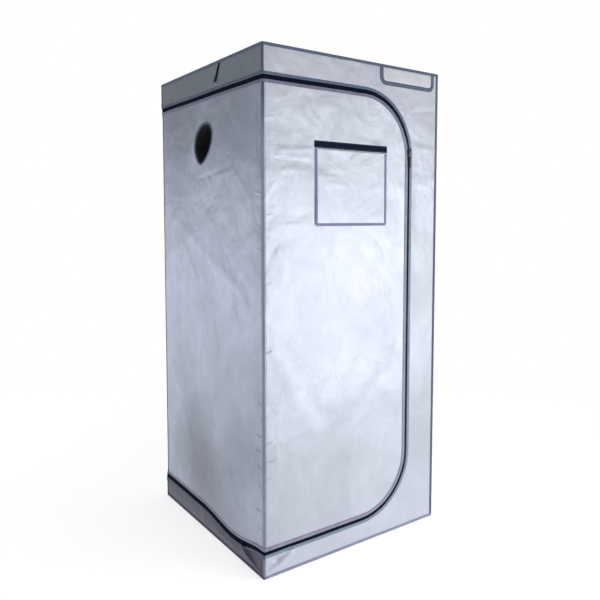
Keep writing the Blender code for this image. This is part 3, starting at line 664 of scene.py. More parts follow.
@dataclass(frozen=True)
class Crease:
    """A fold line in the cloth: its wall, its two ends, its width and its height."""

    wall: Wall
    start: Pair
    end: Pair
    width: float
    height: float

    def lift(self, u: Rows, v: Rows) -> Rows:
        """How far the fold lifts the cloth.

        Args:
            u: how far right the points of its wall are.
            v: how far up.

        Returns:
            The lift at each point, in metres.
        """
        ax, ay = self.start
        dx, dy = self.end[0] - ax, self.end[1] - ay
        length = math.hypot(dx, dy)
        along = ((u - ax) * dx + (v - ay) * dy) / length
        off = ((u - ax) * dy - (v - ay) * dx) / length
        over = np.maximum(0, np.maximum(-along, along - length))
        side = np.tanh(off / self.width * 1.2) * 0.35
        return self.height * (bell(off, self.width) + side * bell(off, self.width * 3)) * bell(over, 0.012)


# Each fold's first end, second end, width and height, by wall.
FOLDS: dict[Wall, tuple[tuple[float, ...], ...]] = {
    Wall.LEFT: (
        (0.062, 1.7, 0.058, 1.64, 0.004, 0.002), (0.03, 1.64, 0.18, 1.655, 0.01, 0.0012),
        (-0.055, 1.385, 0.085, 1.402, 0.0034, -0.0015), (0.02, 1.392, 0.04, 1.372, 0.005, 0.0016),
        (0.11, 1.392, 0.18, 1.398, 0.006, 0.0016), (0.374, 1.67, 0.37, 1.45, 0.005, 0.0024),
        (0.391, 1.5, 0.389, 1.18, 0.004, 0.0008), (0.17, 0.3, 0.02, 0.215, 0.024, 0.0026),
        (-0.38, 0.7, 0.06, 1.02, 0.03, -0.002), (-0.3, 1.24, 0.3, 0.96, 0.026, 0.0018),
        (-0.33, 0.62, -0.15, 0.33, 0.02, 0.0018), (0.27, 0.056, 0.396, 0.014, 0.008, 0.009),
        (0.33, 0.066, 0.398, 0.04, 0.006, -0.003)),
    Wall.FRONT: (
        (-0.402, 0.018, -0.3, 0.064, 0.01, 0.011), (-0.402, 0.066, -0.34, 0.03, 0.006, 0.006),
        (-0.4, 0.03, -0.35, 0.012, 0.006, -0.0018), (-0.33, 1.462, -0.215, 1.47, 0.006, 0.0012),
        (-0.345, 1.43, -0.225, 1.424, 0.006, -0.0012), (-0.33, 1.395, -0.235, 1.402, 0.006, 0.001),
        (0.285, 1.64, 0.392, 1.655, 0.01, -0.0012), (0.285, 1.51, 0.392, 1.5, 0.012, 0.0013),
        (-0.35, 1.12, 0.18, 0.76, 0.034, 0.0022), (-0.25, 0.32, 0.19, 0.7, 0.04, -0.0022),
        (-0.38, 0.82, -0.2, 0.48, 0.03, 0.0016), (0.02, 1.12, 0.21, 0.93, 0.022, -0.0014)),
    Wall.BACK: (
        (-0.3, 1.5, 0.25, 1.05, 0.03, 0.0026), (-0.35, 0.6, 0.3, 0.25, 0.034, -0.0026),
        (0.0, 1.76, 0.01, 0.05, 0.008, 0.0012)),
    Wall.RIGHT: (
        (-0.3, 0.5, 0.33, 0.98, 0.03, 0.0024), (-0.34, 1.55, 0.2, 1.25, 0.03, -0.0022),
        (-0.39, 0.9, 0.39, 0.905, 0.007, 0.0011)),
    Wall.ROOF: (
        (-0.35, -0.02, 0.35, 0.01, 0.01, 0.0012), (0.01, -0.35, -0.01, 0.35, 0.01, 0.0012)),
}


@dataclass(frozen=True)
class Ticks:
    """The short puckers that one wall has beside the sewn front left edge."""

    wall: Wall
    side: int
    rise: float
    low_height: float
    high_height: float
    places: tuple[Pair, ...]
    edge: float = 0.404
    width: float = 0.003

    def creases(self) -> list[Crease]:
        """The puckers as creases, the ones of the lower half deeper.

        Returns:
            One crease for each.
        """
        return [Crease(self.wall, (self.side * self.edge, v),
                       (self.side * (self.edge - reach), v + self.rise), self.width,
                       self.low_height if v < PLAN.middle else self.high_height)
                for v, reach in self.places]


LEFT_TICKS = Ticks(Wall.LEFT, 1, 0.005, 0.006, 0.0024, (
    (0.6, 0.024), (0.545, 0.018), (0.487, 0.032), (0.434, 0.038), (0.377, 0.028), (0.31, 0.022),
    (0.224, 0.04), (0.16, 0.03), (0.905, 0.02), (1.12, 0.024), (1.31, 0.028)))
FRONT_TICKS = Ticks(Wall.FRONT, -1, 0.003, 0.0052, 0.0016, (
    (1.56, 0.026), (1.42, 0.02), (1.24, 0.022), (1.01, 0.024), (0.78, 0.018), (0.61, 0.03),
    (0.565, 0.018), (0.47, 0.026), (0.405, 0.034), (0.345, 0.02), (0.262, 0.03), (0.205, 0.02),
    (0.15, 0.032)))


def all_creases() -> tuple[Crease, ...]:
    """The long folds of every wall, then the ticks beside the front left edge."""
    folds = [Crease(wall, row[:2], row[2:4], *row[4:]) for wall, rows in FOLDS.items() for row in rows]
    return (*folds, *LEFT_TICKS.creases(), *FRONT_TICKS.creases())


@dataclass
class Relief:
    """How far the slack cloth stands off its flat wall, the same for all that lies on it."""

    billow: float = 0.003
    crinkle: float = 0.0007
    fine: float = 0.00022
    pucker: float = 0.0026
    most: float = 0.0085
    creases: tuple[Crease, ...] = field(default_factory=all_creases)
    noise: Noise = field(default_factory=lambda: Noise(4004))

    def at(self, wall: Wall, u: Rows, v: Rows) -> Rows:
        """The cloth's stand-off at points of a wall.

        Args:
            wall: the wall that the points are on.
            u: how far right.
            v: how far up.

        Returns:
            The distance outwards at each point, in metres.
        """
        if wall is Wall.FLOOR:
            return np.zeros_like(u)
        lift = self.slack(u, v, 7.3 * list(Wall).index(wall))
        for crease in self.creases:
            if crease.wall is wall:
                lift += crease.lift(u, v)
        if wall is Wall.ROOF:
            dip = np.clip(1 - (u / PLAN.skin) ** 2, 0, 1) * np.clip(1 - (v / PLAN.skin) ** 2, 0, 1)
            return (lift * 0.6 - 0.006) * dip
        lift += self.door_gathers(wall, u, v)
        if wall is Wall.FRONT:
            track = soft_step(v, 0.26, 0.31) * (1 - soft_step(v, 1.52, 1.56))
            lift *= 1 - track * (1 - soft_step(np.abs(u - PLAN.zip_x), 0.0125, 0.05))
        return self.held(u, v, lift)

    def slack(self, u: Rows, v: Rows, shift: float) -> Rows:
        """The broad billows, the folds and the fine crinkles.

        Args:
            u: how far right.
            v: how far up.
            shift: how far this wall is moved in the noise, so that no two walls are the same.

        Returns:
            The lift at each point, in metres.
        """
        side = u + shift
        bend_u = u + 0.018 * self.noise(side * 9, v * 9 + 5)
        bend_v = v + 0.018 * self.noise(side * 9 + 31, v * 9 + 5)
        lift = self.billow * self.noise(side * 2.4, v * 1.7)
        lift += self.billow * 0.55 * self.noise(side * 5.5 + 13, v * 4.0 + v * u)
        folds = 1 - np.minimum(1, np.abs(self.noise((bend_u + shift) * 8.5, bend_v * 5.0)) * 3.2)
        patchy = soft_step(self.noise(side * 4.1 + 3, v * 3.3 + 9), -0.15, 0.55)
        lift += self.crinkle * folds * folds * patchy
        small = 1 - np.minimum(1, np.abs(self.noise((bend_u + shift) * 21, bend_v * 17)) * 2.6)
        rough = soft_step(self.noise(side * 6.3 + 23, v * 5.1), 0.0, 0.6)
        lift += self.fine * small * (0.35 + rough)
        return lift

    def door_gathers(self, wall: Wall, u: Rows, v: Rows) -> Rows:
        """The small gathers beside the sewn front left edge and beside the zip.

        Args:
            wall: the wall that the points are on.
            u: how far right.
            v: how far up.

        Returns:
            The lift at each point, in metres.
        """
        lift = np.zeros_like(u)
        if wall is Wall.LEFT or wall is Wall.FRONT:
            off = PLAN.skin - u if wall is Wall.LEFT else PLAN.skin + u
            shift = 2.0 if wall is Wall.LEFT else 40.0
            ticks = self.noise(v * 17 + shift, off * 14) + 0.6 * self.noise(v * 41 + shift, off * 30 + 3)
            calm = soft_step(self.noise(v * 6 + shift, off * 0 + 0.5), -0.35, 0.35)
            lift += self.pucker * ticks * (0.35 + calm) * np.exp(-off / 0.026) * soft_step(off, 0.001, 0.01)
            for line, side in ((PLAN.zip_top, v), (PLAN.zip_bottom, v + sag(u) * (wall is Wall.LEFT))):
                off_zip = np.abs(side - line)
                lift += 0.0008 * self.noise(u * 24 + shift, v * 9) * bell(off_zip - 0.026, 0.016)
        if wall is Wall.FRONT:
            between = soft_step(v, 0.25, 0.36) * (1 - soft_step(v, 1.4, 1.5))
            wander = 0.0011 * self.noise(v * 8.5, u * 7 + 3) + 0.0006 * self.noise(v * 26, u * 15)
            lift += wander * bell(np.abs(u - PLAN.zip_x), 0.045) * between
        return lift

    def held(self, u: Rows, v: Rows, lift: Rows) -> Rows:
        """Holds the cloth at its edges, and keeps it off the tubes behind it.

        Args:
            u: how far right.
            v: how far up.
            lift: how far the cloth would lift there.

        Returns:
            How far it lifts.
        """
        edge = PLAN.skin - np.abs(u)
        base = np.minimum(v, PLAN.top - v)
        free = soft_step(edge, 0.0, 0.06) * soft_step(base, 0.0, 0.05)
        near_edge = np.minimum(edge, base)
        lift = np.where(near_edge < 0.06, lift * (0.25 + 0.75 * free), lift)
        lift *= soft_step(near_edge, 0.0, 0.012)
        room = 0.0005 + 0.0055 * soft_step(near_edge, 0.028, 0.07)
        lift = np.where(lift < -room, -room - 0.0001, lift)
        return np.minimum(lift, np.minimum(self.most, 0.0006 + 0.16 * np.maximum(edge, 0)))


RELIEF = Relief()


def sag(u: Rows, before: float = 0.2, after: float = 0.28, depth: float = 0.028) -> Rows:
    """How far the left wall's lower zip hangs below its own height.

    Args:
        u: how far right on the wall.
        before: how far from the front left edge it hangs lowest.
        after: how far beyond that it is level again.
        depth: how far down it hangs there.

    Returns:
        The drop at each point, in metres.
    """
    from_corner = PLAN.skin - u
    along = np.clip((from_corner - before) / np.where(from_corner < before, before, after), -1, 1)
    return depth * np.cos(along * math.pi / 2) ** 2


def door_band(z: Rows) -> Rows:
    """1 between the zip's lines, where the cloth hugs the posts, and 0 at the header and the sill."""
    return soft_step(z, 0.085, 0.118) * (1 - soft_step(z, 1.688, 1.716))


def round_corners(points: Rows) -> Rows:
    """Rounds the cabinet's upright edges and pulls the left ones in beside the door, as slack cloth does.

    Args:
        points: rows of x, y and z on the sharp-edged cabinet.

    Returns:
        The same points on the rounded one.
    """
    x, y, z = points.T
    hug = door_band(z) * (x < 0)
    radius = 0.0045 + 0.0045 * hug
    start = PLAN.skin - radius
    side_x, side_y = (np.abs(x) - start) / radius, (np.abs(y) - start) / radius
    ring = np.maximum(side_x, side_y)
    inside = (side_x > 0) & (side_y > 0)
    safe = np.where(ring > 0, ring, 1)
    part_x, part_y = np.clip(side_x / safe, 0, 1), np.clip(side_y / safe, 0, 1)
    pull = 0.0018 * hug
    done = []
    for here, there, part, other in ((x, y, part_x, part_y), (y, x, part_y, part_x)):
        rounded = start + radius * ring * part * np.sqrt(1 - other**2 / 2)
        new = np.where(inside, np.sign(here) * rounded, here)
        outer = soft_step(np.abs(here), PLAN.skin - 0.045, PLAN.skin - 0.012)
        done.append(new - np.sign(here) * pull * outer * bell(np.maximum(0, PLAN.skin - np.abs(there)), 0.04))
    return np.stack([*done, z], axis=1)


def on_wall(wall: Wall, u: Rows, v: Rows, w: Rows | float, slack: bool = True) -> Rows:
    """Points of the cabinet's surface.

    Args:
        wall: the wall.
        u: how far right, as seen from outside.
        v: how far up.
        w: how far off the cloth's outer face.
        slack: whether the points follow the cloth's slack.

    Returns:
        Rows of x, y and z.
    """
    u, v = np.asarray(u, float), np.asarray(v, float)
    off = np.broadcast_to(np.asarray(w, float), u.shape)
    if slack:
        off = off + RELIEF.at(wall, u, v)
    if wall in (Wall.ROOF, Wall.FLOOR):
        return np.stack((u, v, off + (PLAN.top if wall is Wall.ROOF else PLAN.cloth)), axis=1)
    rows = {Wall.FRONT: (u, -PLAN.skin - off, v), Wall.RIGHT: (PLAN.skin + off, u, v),
            Wall.BACK: (-u, PLAN.skin + off, v), Wall.LEFT: (-PLAN.skin - off, -u, v)}[wall]
    return round_corners(np.stack(rows, axis=1))


def on_wrap(t: Rows, v: Rows, w: Rows | float) -> Rows:
    """Points on the left and front walls laid out as one strip.

    Args:
        t: how far right of their shared edge.
        v: how far up.
        w: how far off the cloth's outer face.

    Returns:
        Rows of x, y and z.
    """
    t, v = np.asarray(t, float), np.asarray(v, float)
    off = np.broadcast_to(np.asarray(w, float), t.shape)
    stretch = off * np.clip(1 - np.abs(t) / 0.02, 0, 1)
    left = on_wall(Wall.LEFT, t + PLAN.skin + stretch, v, off)
    front = on_wall(Wall.FRONT, t - PLAN.skin - stretch, v, off)
    return np.where((t < 0)[:, None], left, front)


# ---- mesh making


def make_piece(
    name: str, points: Rows, faces: Iterable[Sequence[int]], look: Finish, run: Rows | None = None
) -> Piece:
    """Makes an object from points and faces.

    Args:
        name: the piece's name.
        points: rows of x, y and z.
        faces: lists of point numbers.
        look: its finish.
        run: rows of the way along and across for each point, for weave and ribs.

    Returns:
        The object, which is in the scene.
    """
    mesh = bpy.data.meshes.new(name)
    mesh.from_pydata([tuple(p) for p in points.tolist()], [], [tuple(int(i) for i in f) for f in faces])
    mesh.materials.append(look.material())
    layer = mesh.uv_layers.new(name="run")
    if run is None:
        run = points[:, [0, 2]] + points[:, [1, 1]] * np.array([1.0, 0.35])
    corners = np.empty(len(mesh.loops), dtype=np.int32)
    mesh.loops.foreach_get("vertex_index", corners)
    layer.data.foreach_set("uv", run[corners].astype(np.float32).ravel())
    mesh.polygons.foreach_set("use_smooth", np.full(len(mesh.polygons), True))
    mesh.update()
    piece = bpy.data.objects.new(name, mesh)
    bpy.context.collection.objects.link(piece)
    return piece


def thicken(piece: Piece, thickness: float, offset: float) -> bpy.types.Modifier:
    """Gives a sheet its thickness.

    Args:
        piece: the sheet.
        thickness: how thick it becomes, in metres.
        offset: 1 where it grows outwards and -1 where it grows inwards.

    Returns:
        The modifier.
    """
    wall = piece.modifiers.new("cloth", "SOLIDIFY")
    wall.thickness, wall.offset = thickness, offset
    return wall


def resample(outline: Sequence, step: float) -> Rows:
    """Points round a closed outline, its corners kept.

    Args:
        outline: its corners in u and v.
        step: how far apart the points are, at most.

    Returns:
        The points.
    """
    rows = []
    points = [np.asarray(p, float) for p in outline]
    for a, b in zip(points, points[1:] + points[:1]):
        count = max(1, math.ceil(float(np.hypot(*(b - a))) / step))
        rows.extend(a + (b - a) * i / count for i in range(count))
    return np.array(rows)


def is_inside(outline: Rows, points: Rows) -> Rows:
    """Whether each point is inside a closed outline.

    Args:
        outline: its corners in u and v.
        points: the points in u and v.

    Returns:
        True or False for each.
    """
    x, y = points.T
    inside = np.zeros(len(points), bool)
    for (ax, ay), (bx, by) in zip(outline, np.roll(outline, -1, axis=0)):
        if ay != by:
            inside ^= ((ay > y) != (by > y)) & (x < (bx - ax) * (y - ay) / (by - ay) + ax)
    return inside


def far_from(outline: Rows, points: Rows, least: float) -> Rows:
    """Whether each point is at least a given distance from a closed outline.

    Args:
        outline: its corners in u and v.
        points: the points in u and v.
        least: that distance.

    Returns:
        True or False for each.
    """
    x, y = points.T
    clear = np.ones(len(points), bool)
    for (ax, ay), (bx, by) in zip(outline, np.roll(outline, -1, axis=0)):
        dx, dy = bx - ax, by - ay
        share = np.clip(((x - ax) * dx + (y - ay) * dy) / max(dx * dx + dy * dy, 1e-12), 0, 1)
        clear &= (ax + share * dx - x) ** 2 + (ay + share * dy - y) ** 2 > least * least
    return clear


def staggered(low: Rows, high: Rows, step: float) -> Rows:
    """Staggered rows of points over a box.

    Args:
        low: the box's lower left corner.
        high: its upper right corner.
        step: how far apart the points are.

    Returns:
        The points.
    """
    us = np.arange(low[0] + step / 2, high[0], step)
    vs = np.arange(low[1] + step / 2, high[1], step * 0.866)
    grid = np.array(np.meshgrid(us, vs)).reshape(2, -1).T
    odd = np.round((grid[:, 1] - low[1]) / (step * 0.866)).astype(int) % 2
    grid[:, 0] += odd * step / 2
    return grid


@dataclass
class ClothPanel:
    """One cut of cloth on a wall, with its lining inside."""

    name: str
    wall: Wall
    outline: Sequence
    look: Finish
    step: float = 0.008
    holes: Sequence = ()
    close: Callable[[Rows], Rows] | None = None
    w: float = 0.0
    thickness: float = 0.001
    seam: float = 0.005
    lining: Finish | None = None
    extra: Callable[[Rows, Rows], Rows] | None = None

    def fill(self, coarse: Sequence[Rows], low: Rows, high: Rows) -> Rows:
        """The points between the outline and the holes.

        Args:
            coarse: the outline and the holes by their corners alone.
            low: the outline's lower left corner.
            high: its upper right corner.

        Returns:
            The points.
        """
        fill = staggered(low, high, self.step)
        if self.close is not None:
            dense = staggered(low, high, self.step * 0.5)
            fill = np.concatenate([fill[~self.close(fill)], dense[self.close(dense)]])
        keep = is_inside(coarse[0], fill)
        for ring in coarse[1:]:
            keep &= ~is_inside(ring, fill)
        fill = fill[keep]
        for ring in coarse:
            fill = fill[far_from(ring, fill, self.step * 0.35)]
        return fill

    def net(self) -> tuple[Rows, list, float]:
        """Fills the outline with near-even triangles.

        Returns:
            The flat points, the triangles, and their area in square metres.
        """
        rings = [resample(self.outline, self.step), *(resample(h, self.step * 0.7) for h in self.holes)]
        coarse = [np.asarray(ring, float) for ring in (self.outline, *self.holes)]
        points = np.concatenate([*rings, self.fill(coarse, rings[0].min(axis=0), rings[0].max(axis=0))])
        edges, start = [], 0
        for ring in rings:
            count = len(ring)
            edges += [(start + i, start + (i + 1) % count) for i in range(count)]
            start += count
        made = delaunay_2d_cdt([Vector(p) for p in points], edges, [], 1, 1e-7)
        flat = np.array([tuple(p) for p in made[0]])
        triangles = np.array([f for f in made[2]])
        for ring in coarse[1:]:
            triangles = triangles[~is_inside(ring, flat[triangles].mean(axis=1))]
        a, b, c = (flat[triangles[:, i]] for i in range(3))
        areas = ((b - a)[:, 0] * (c - a)[:, 1] - (b - a)[:, 1] * (c - a)[:, 0]) / 2
        triangles[areas < 0] = triangles[areas < 0][:, ::-1]
        return flat, triangles.tolist(), float(np.abs(areas).sum())

    def build(self, body: str, nodes: Sequence[str], slot: str, bound: Sequence[Piece] = ()) -> Piece:
        """Makes the panel and hangs it on its body.

        Args:
            body: the body that it rides on.
            nodes: the solids that it stands for.
            slot: its material slot in the record.
            bound: the pieces sewn to it. Not used.

        Returns:
            The cloth object.
        """
        flat, triangles, area = self.net()
        u, v = flat.T
        w = self.w + (self.extra(u, v) if self.extra else 0.0)
        piece = make_piece(self.name, on_wall(self.wall, u, v, w), triangles, self.look, flat)
        wall = thicken(piece, self.thickness, -1)
        if self.lining is not None:
            piece.data.materials.append(self.lining.material())
            wall.material_offset = 1
            wall.material_offset_rim = 0
        dress([piece], body, slot, nodes)
        rim = np.asarray(self.outline, float)
        around = float(np.hypot(*(np.roll(rim, -1, axis=0) - rim).T).sum())
        width, height = (float(n) + 2 * self.seam for n in flat.max(axis=0) - flat.min(axis=0))
        cut = min(area + self.seam * around, width * height)
        list(bound)
        LOG.info("%s: cloth of %.3f by %.3f m, %d points", self.name, width, height, len(flat))
        return piece


# ---- strips, stitches and hard shapes

Surface = Callable[[Rows, Rows, Rows], Rows]


def wall_surface(wall: Wall) -> Surface:
    """The mapping of one wall, for strips and stitches."""
    return lambda u, v, w: on_wall(wall, u, v, w)


def with_cross(along: Rows, across: float) -> Rows:
    """The way along, with one value of the way across, as rows of two."""
    return np.stack([along, np.full(len(along), across)], axis=1)


def way_along(line: Rows) -> Rows:
    """How far along a line each of its points is."""
    return np.concatenate([[0.0], np.cumsum(np.hypot(*np.diff(line, axis=0).T))])


def loft(
    name: str, rows: Sequence[Rows], runs: Sequence[Rows], look: Finish, closed_section: bool = True,
    ring: bool = False,
) -> Piece:
    """Skins rows of points, one row for each point of a section.

    Args:
        name: the piece's name.
        rows: one array of points along the run for each point of the section.
        runs: the way along and across for each row's points.
        look: the finish.
        closed_section: whether the last row joins the first.
        ring: whether each row closes on itself.

    Returns:
        The object.
    """
    across, along = len(rows), len(rows[0])
    number = np.arange(across * along).reshape(across, along)
    faces = []
    for i in range(across if closed_section else across - 1):
        here, there = number[i], number[(i + 1) % across]
        for j in range(along if ring else along - 1):
            k = (j + 1) % along
            faces.append((here[j], here[k], there[k], there[j]))
    if closed_section and not ring:
        faces += [tuple(number[:, 0]), tuple(number[::-1, -1])]
    return make_piece(name, np.concatenate(rows), faces, look, np.concatenate(runs))


TAPE_SECTION = (
    (0.0, 0.0), (0.0, 0.6), (0.07, 0.93), (0.3, 1.0), (0.5, 1.04), (0.7, 1.0), (0.93, 0.93), (1.0, 0.6),
    (1.0, 0.0), (0.5, 0.0))


@dataclass
class Strip:
    """A tape along a line, with a soft crown and turned edges. line(offset) gives its points."""

    name: str
    surface: Surface
    line: Callable[[float], Rows]
    inner: float
    outer: float
    look: Finish
    thick: float = 0.0012
    low: float = 0.0003
    ring: bool = False

    def build(self) -> Piece:
        """Skins the strip.

        Returns:
            The object.
        """
        along = way_along(self.line((self.inner + self.outer) / 2))
        rows, runs = [], []
        for share, height in TAPE_SECTION:
            offset = self.inner + (self.outer - self.inner) * share
            flat = self.line(offset)
            rows.append(self.surface(*flat.T, np.full(len(flat), self.low + self.thick * height)))
            runs.append(with_cross(along, offset))
        return loft(self.name, rows, runs, self.look, ring=self.ring)


def dashes(
    name: str, surface: Surface, line: Rows, look: Finish, pitch: float, size: Place, low: float,
    start: float = 0.0, across: float = 0.0,
) -> Piece:
    """Small blocks in a row, such as stitches or zip teeth.

    Args:
        name: the piece's name.
        surface: the mapping from u, v and w to space.
        line: the row's points, as u and v.
        look: the finish.
        pitch: the distance from one to the next.
        size: the length, width and height of each.
        low: the height of their feet off the cloth.
        start: how far along the first one is.
        across: how far they stand to the line's left.

    Returns:
        One object with all of them.
    """
    total = way_along(line)
    places = np.arange(start + pitch / 2, total[-1] - pitch / 2, pitch)
    centre, ahead, behind = (np.stack([np.interp(places + near, total, line[:, i]) for i in (0, 1)], axis=1)
                             for near in (0, 0.001, -0.001))
    tangent = ahead - behind
    tangent /= np.maximum(np.hypot(*tangent.T), 1e-9)[:, None]
    normal = np.stack([-tangent[:, 1], tangent[:, 0]], axis=1)
    length, width, height = size
    points = []
    for level, shrink in ((0.0, 1.0), (0.62, 1.0), (1.0, 0.62)):
        for a, b in ((-1, -1), (1, -1), (1, 1), (-1, 1)):
            flat = centre + tangent * a * shrink * length / 2 + normal * (across + b * shrink * width / 2)
            points.append(surface(*flat.T, np.full(len(flat), low + height * level)))
    block = [(3, 2, 1, 0), (8, 9, 10, 11)]
    for ring in (0, 4):
        block += [(ring + i, ring + (i + 1) % 4, ring + 4 + (i + 1) % 4, ring + 4 + i) for i in range(4)]
    faces = [tuple(12 * k + i for i in f) for k in range(len(places)) for f in block]
    return make_piece(name, np.stack(points, axis=1).reshape(-1, 3), faces, look)


def straight(a: Pair, b: Pair, step: float = 0.008) -> Rows:
    """Points along a straight line, as u and v."""
    count = max(2, math.ceil(math.hypot(b[0] - a[0], b[1] - a[1]) / step) + 1)
    return np.linspace(a, b, count)


@dataclass(frozen=True)
class Pocket:
    """The outline of a patch that is open at its top: its sides, its foot and its rounded lower corners."""

    left: float
    right: float
    top: float
    low: float
    radius: float
    step: float
    turn_points: int

    def line(self, offset: float) -> Rows:
        """Down the left side, along the foot and up the right side.

        Args:
            offset: how far inside the outline.

        Returns:
            The line's points, as u and v.
        """
        turn = np.linspace(0, math.pi / 2, self.turn_points)
        left, right, low, r = self.left, self.right, self.low, self.radius
        reach = r - offset
        down = straight((left + offset, self.top), (left + offset, low + r), self.step)
        first = np.stack([left + r - reach * np.cos(turn), low + r - reach * np.sin(turn)], axis=1)[1:]
        foot = straight((left + r, low + offset), (right - r, low + offset), self.step)[1:]
        second = np.stack([right - r + reach * np.sin(turn), low + r - reach * np.cos(turn)], axis=1)[1:]
        up = straight((right - offset, low + r), (right - offset, self.top), self.step)[1:]
        return np.concatenate([down, first, foot, second, up])


def stitch(name: str, surface: Surface, line: Rows, w: float, look: Finish = BLUE_THREAD) -> Piece:
    """A row of stitches along a line, on a face at height w."""
    return dashes(name, surface, line, look, 0.0046, (0.0033, 0.0007, 0.00042), w - 0.0001)


def soften(piece: Piece, bevel: float) -> None:
    """Rounds a hard piece's edges and shades it by its true faces.

    Args:
        piece: the piece.
        bevel: how far its edges are rounded.
    """
    edge = piece.modifiers.new("rounded_edges", "BEVEL")
    edge.width, edge.segments = bevel, 3
    edge.limit_method, edge.angle_limit = "ANGLE", math.radians(32)
    shade = piece.modifiers.new("even_shade", "WEIGHTED_NORMAL")
    shade.keep_sharp = False


def slab(
    name: str, wall: Wall, outline: Sequence, low: float, high: float, look: Finish, bevel: float
) -> Piece:
    """A plate with softly rounded edges on a wall.

    Args:
        name: the piece's name.
        wall: the wall whose u, v and w it lies in.
        outline: its corners in u and v, anticlockwise.
        low: the w of its back.
        high: the w of its face.
        look: the finish.
        bevel: how far its edges are rounded.

    Returns:
        The object.
    """
    flat = np.asarray(outline, float)
    count = len(flat)
    points = np.concatenate([on_wall(wall, *flat.T, w, False) for w in (low, high)])
    sides = [(i, (i + 1) % count, count + (i + 1) % count, count + i) for i in range(count)]
    faces = [tuple(range(count))[::-1], tuple(range(count, 2 * count)), *sides]
    piece = make_piece(name, points, faces, look, np.concatenate([flat, flat]))
    soften(piece, bevel)
    return piece


def turned(
    name: str, start: Sequence[float], end: Sequence[float], profile: Sequence, look: Finish, steps: int = 32
) -> Piece:
    """A round piece turned about a line.

    Args:
        name: the piece's name.
        start: the line's start.
        end: the line's end.
        profile: pairs of distance along the line and radius. Its ends are closed on each other.
        look: the finish.
        steps: how many sides the round has.

    Returns:
        The object.
    """
    origin, axis = Vector(start), (Vector(end) - Vector(start)).normalized()
    side = axis.orthogonal().normalized()
    angles = np.linspace(0, 2 * math.pi, steps, endpoint=False)
    ring = np.outer(np.cos(angles), side) + np.outer(np.sin(angles), axis.cross(side))
    rows = [np.array(origin + axis * along) + ring * radius for along, radius in profile]
    runs = [np.stack([np.full(steps, along), angles * radius], axis=1) for along, radius in profile]
    piece = loft(name, rows, runs, look, ring=True)
    shade = piece.modifiers.new("even_shade", "EDGE_SPLIT")
    shade.split_angle = math.radians(38)
    return piece


def dress(pieces: Sequence[Piece], body: str, slot: str, nodes: Sequence[str] = ()) -> None:
    """Hangs pieces on a body and hides the solids that they stand for.

    Args:
        pieces: the pieces.
        body: the body's name.
        slot: the record's material slot. Not used.
        nodes: the solids that they stand for.
    """
    for piece in pieces:
        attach(piece, body)
    if nodes:
        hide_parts(*nodes)
    LOG.info("%s: %d pieces on %s", pieces[0].name, len(pieces), body)


class Corner(Enum):
    """The upright edges, each by the two walls that meet there and the side of each that they meet on."""

    REAR_RIGHT = ((Wall.RIGHT, 1), (Wall.BACK, -1))
    FRONT_RIGHT = ((Wall.FRONT, 1), (Wall.RIGHT, -1))
    REAR_LEFT = ((Wall.BACK, 1), (Wall.LEFT, -1))
    FRONT_LEFT = ((Wall.LEFT, 1), (Wall.FRONT, -1))


def corner_tape(
    corner: Corner, low: float, high: float, look: Finish, leg: float = 0.009, part: str = ""
) -> Piece:
    """Tape folded round an upright edge of the cabinet.

    Args:
        corner: which edge.
        low: the height of its foot.
        high: the height of its top.
        look: the finish.
        leg: how far it reaches on each wall.
        part: which part of the edge it is on, where there are several.

    Returns:
        The object.
    """
    z = np.linspace(low, high, max(3, math.ceil((high - low) / 0.008) + 1))
    half = [(leg, 0.0003), (leg, 0.001), (leg - 0.001, 0.0014), (leg * 0.6, 0.0016), (0.0022, 0.0016)]
    section = [(0, d, w) for d, w in half] + [(0, -0.0014, 0.0014)] + [(1, d, w) for d, w in half[::-1]]
    section += [(1, 0.002, 0.0003), (0, 0.002, 0.0003)]
    over = 0.0
    if corner is Corner.REAR_LEFT:
        for line in (PLAN.zip_top, PLAN.zip_bottom):
            over = over + 0.0015 * (1 - soft_step(np.abs(z - line), 0.02, 0.03))
    key = corner.name.lower()
    swell = 0.0003 * RELIEF.noise(z * 33, z * 0 + 5.0 * len(key))
    rows, runs = [], []
    for k, (which, d, w) in enumerate(section):
        wall, side = corner.value[which]
        lift = w + (over + np.abs(swell) if w > 0.0009 else 0)
        rows.append(on_wall(wall, np.full(len(z), side * (PLAN.skin - d)), z, lift))
        runs.append(with_cross(z, 0.0016 * k))
    return loft(f"corner_tape_{key}{part and '_' + part}", rows, runs, look)


def ring_tape(name: str, section: Sequence, look: Finish) -> Piece:
    """Tape that runs right round the cabinet.

    Args:
        name: the piece's name.
        section: its section's points, as height and distance off the cloth.
        look: the finish.

    Returns:
        The object.
    """
    rows, runs = [], []
    share = np.linspace(-1, 1, PLAN.points_across)[:-1]
    for k, (z, w) in enumerate(section):
        u = share * (PLAN.skin + w)
        rows.append(np.concatenate([on_wall(wall, u, np.full(len(u), z), w, slack=w > 0)
                                    for wall in (Wall.FRONT, Wall.RIGHT, Wall.BACK, Wall.LEFT)]))
        runs.append(with_cross(np.arange(len(rows[-1])) * 0.008, 0.0015 * k))
    return loft(name, rows, runs, look, ring=True)


# ---- sub-assemblies


def oblong(left: float, right: float, low: float, high: float) -> list[Pair]:
    """An oblong's corners, anticlockwise."""
    return [(left, low), (right, low), (right, high), (left, high)]


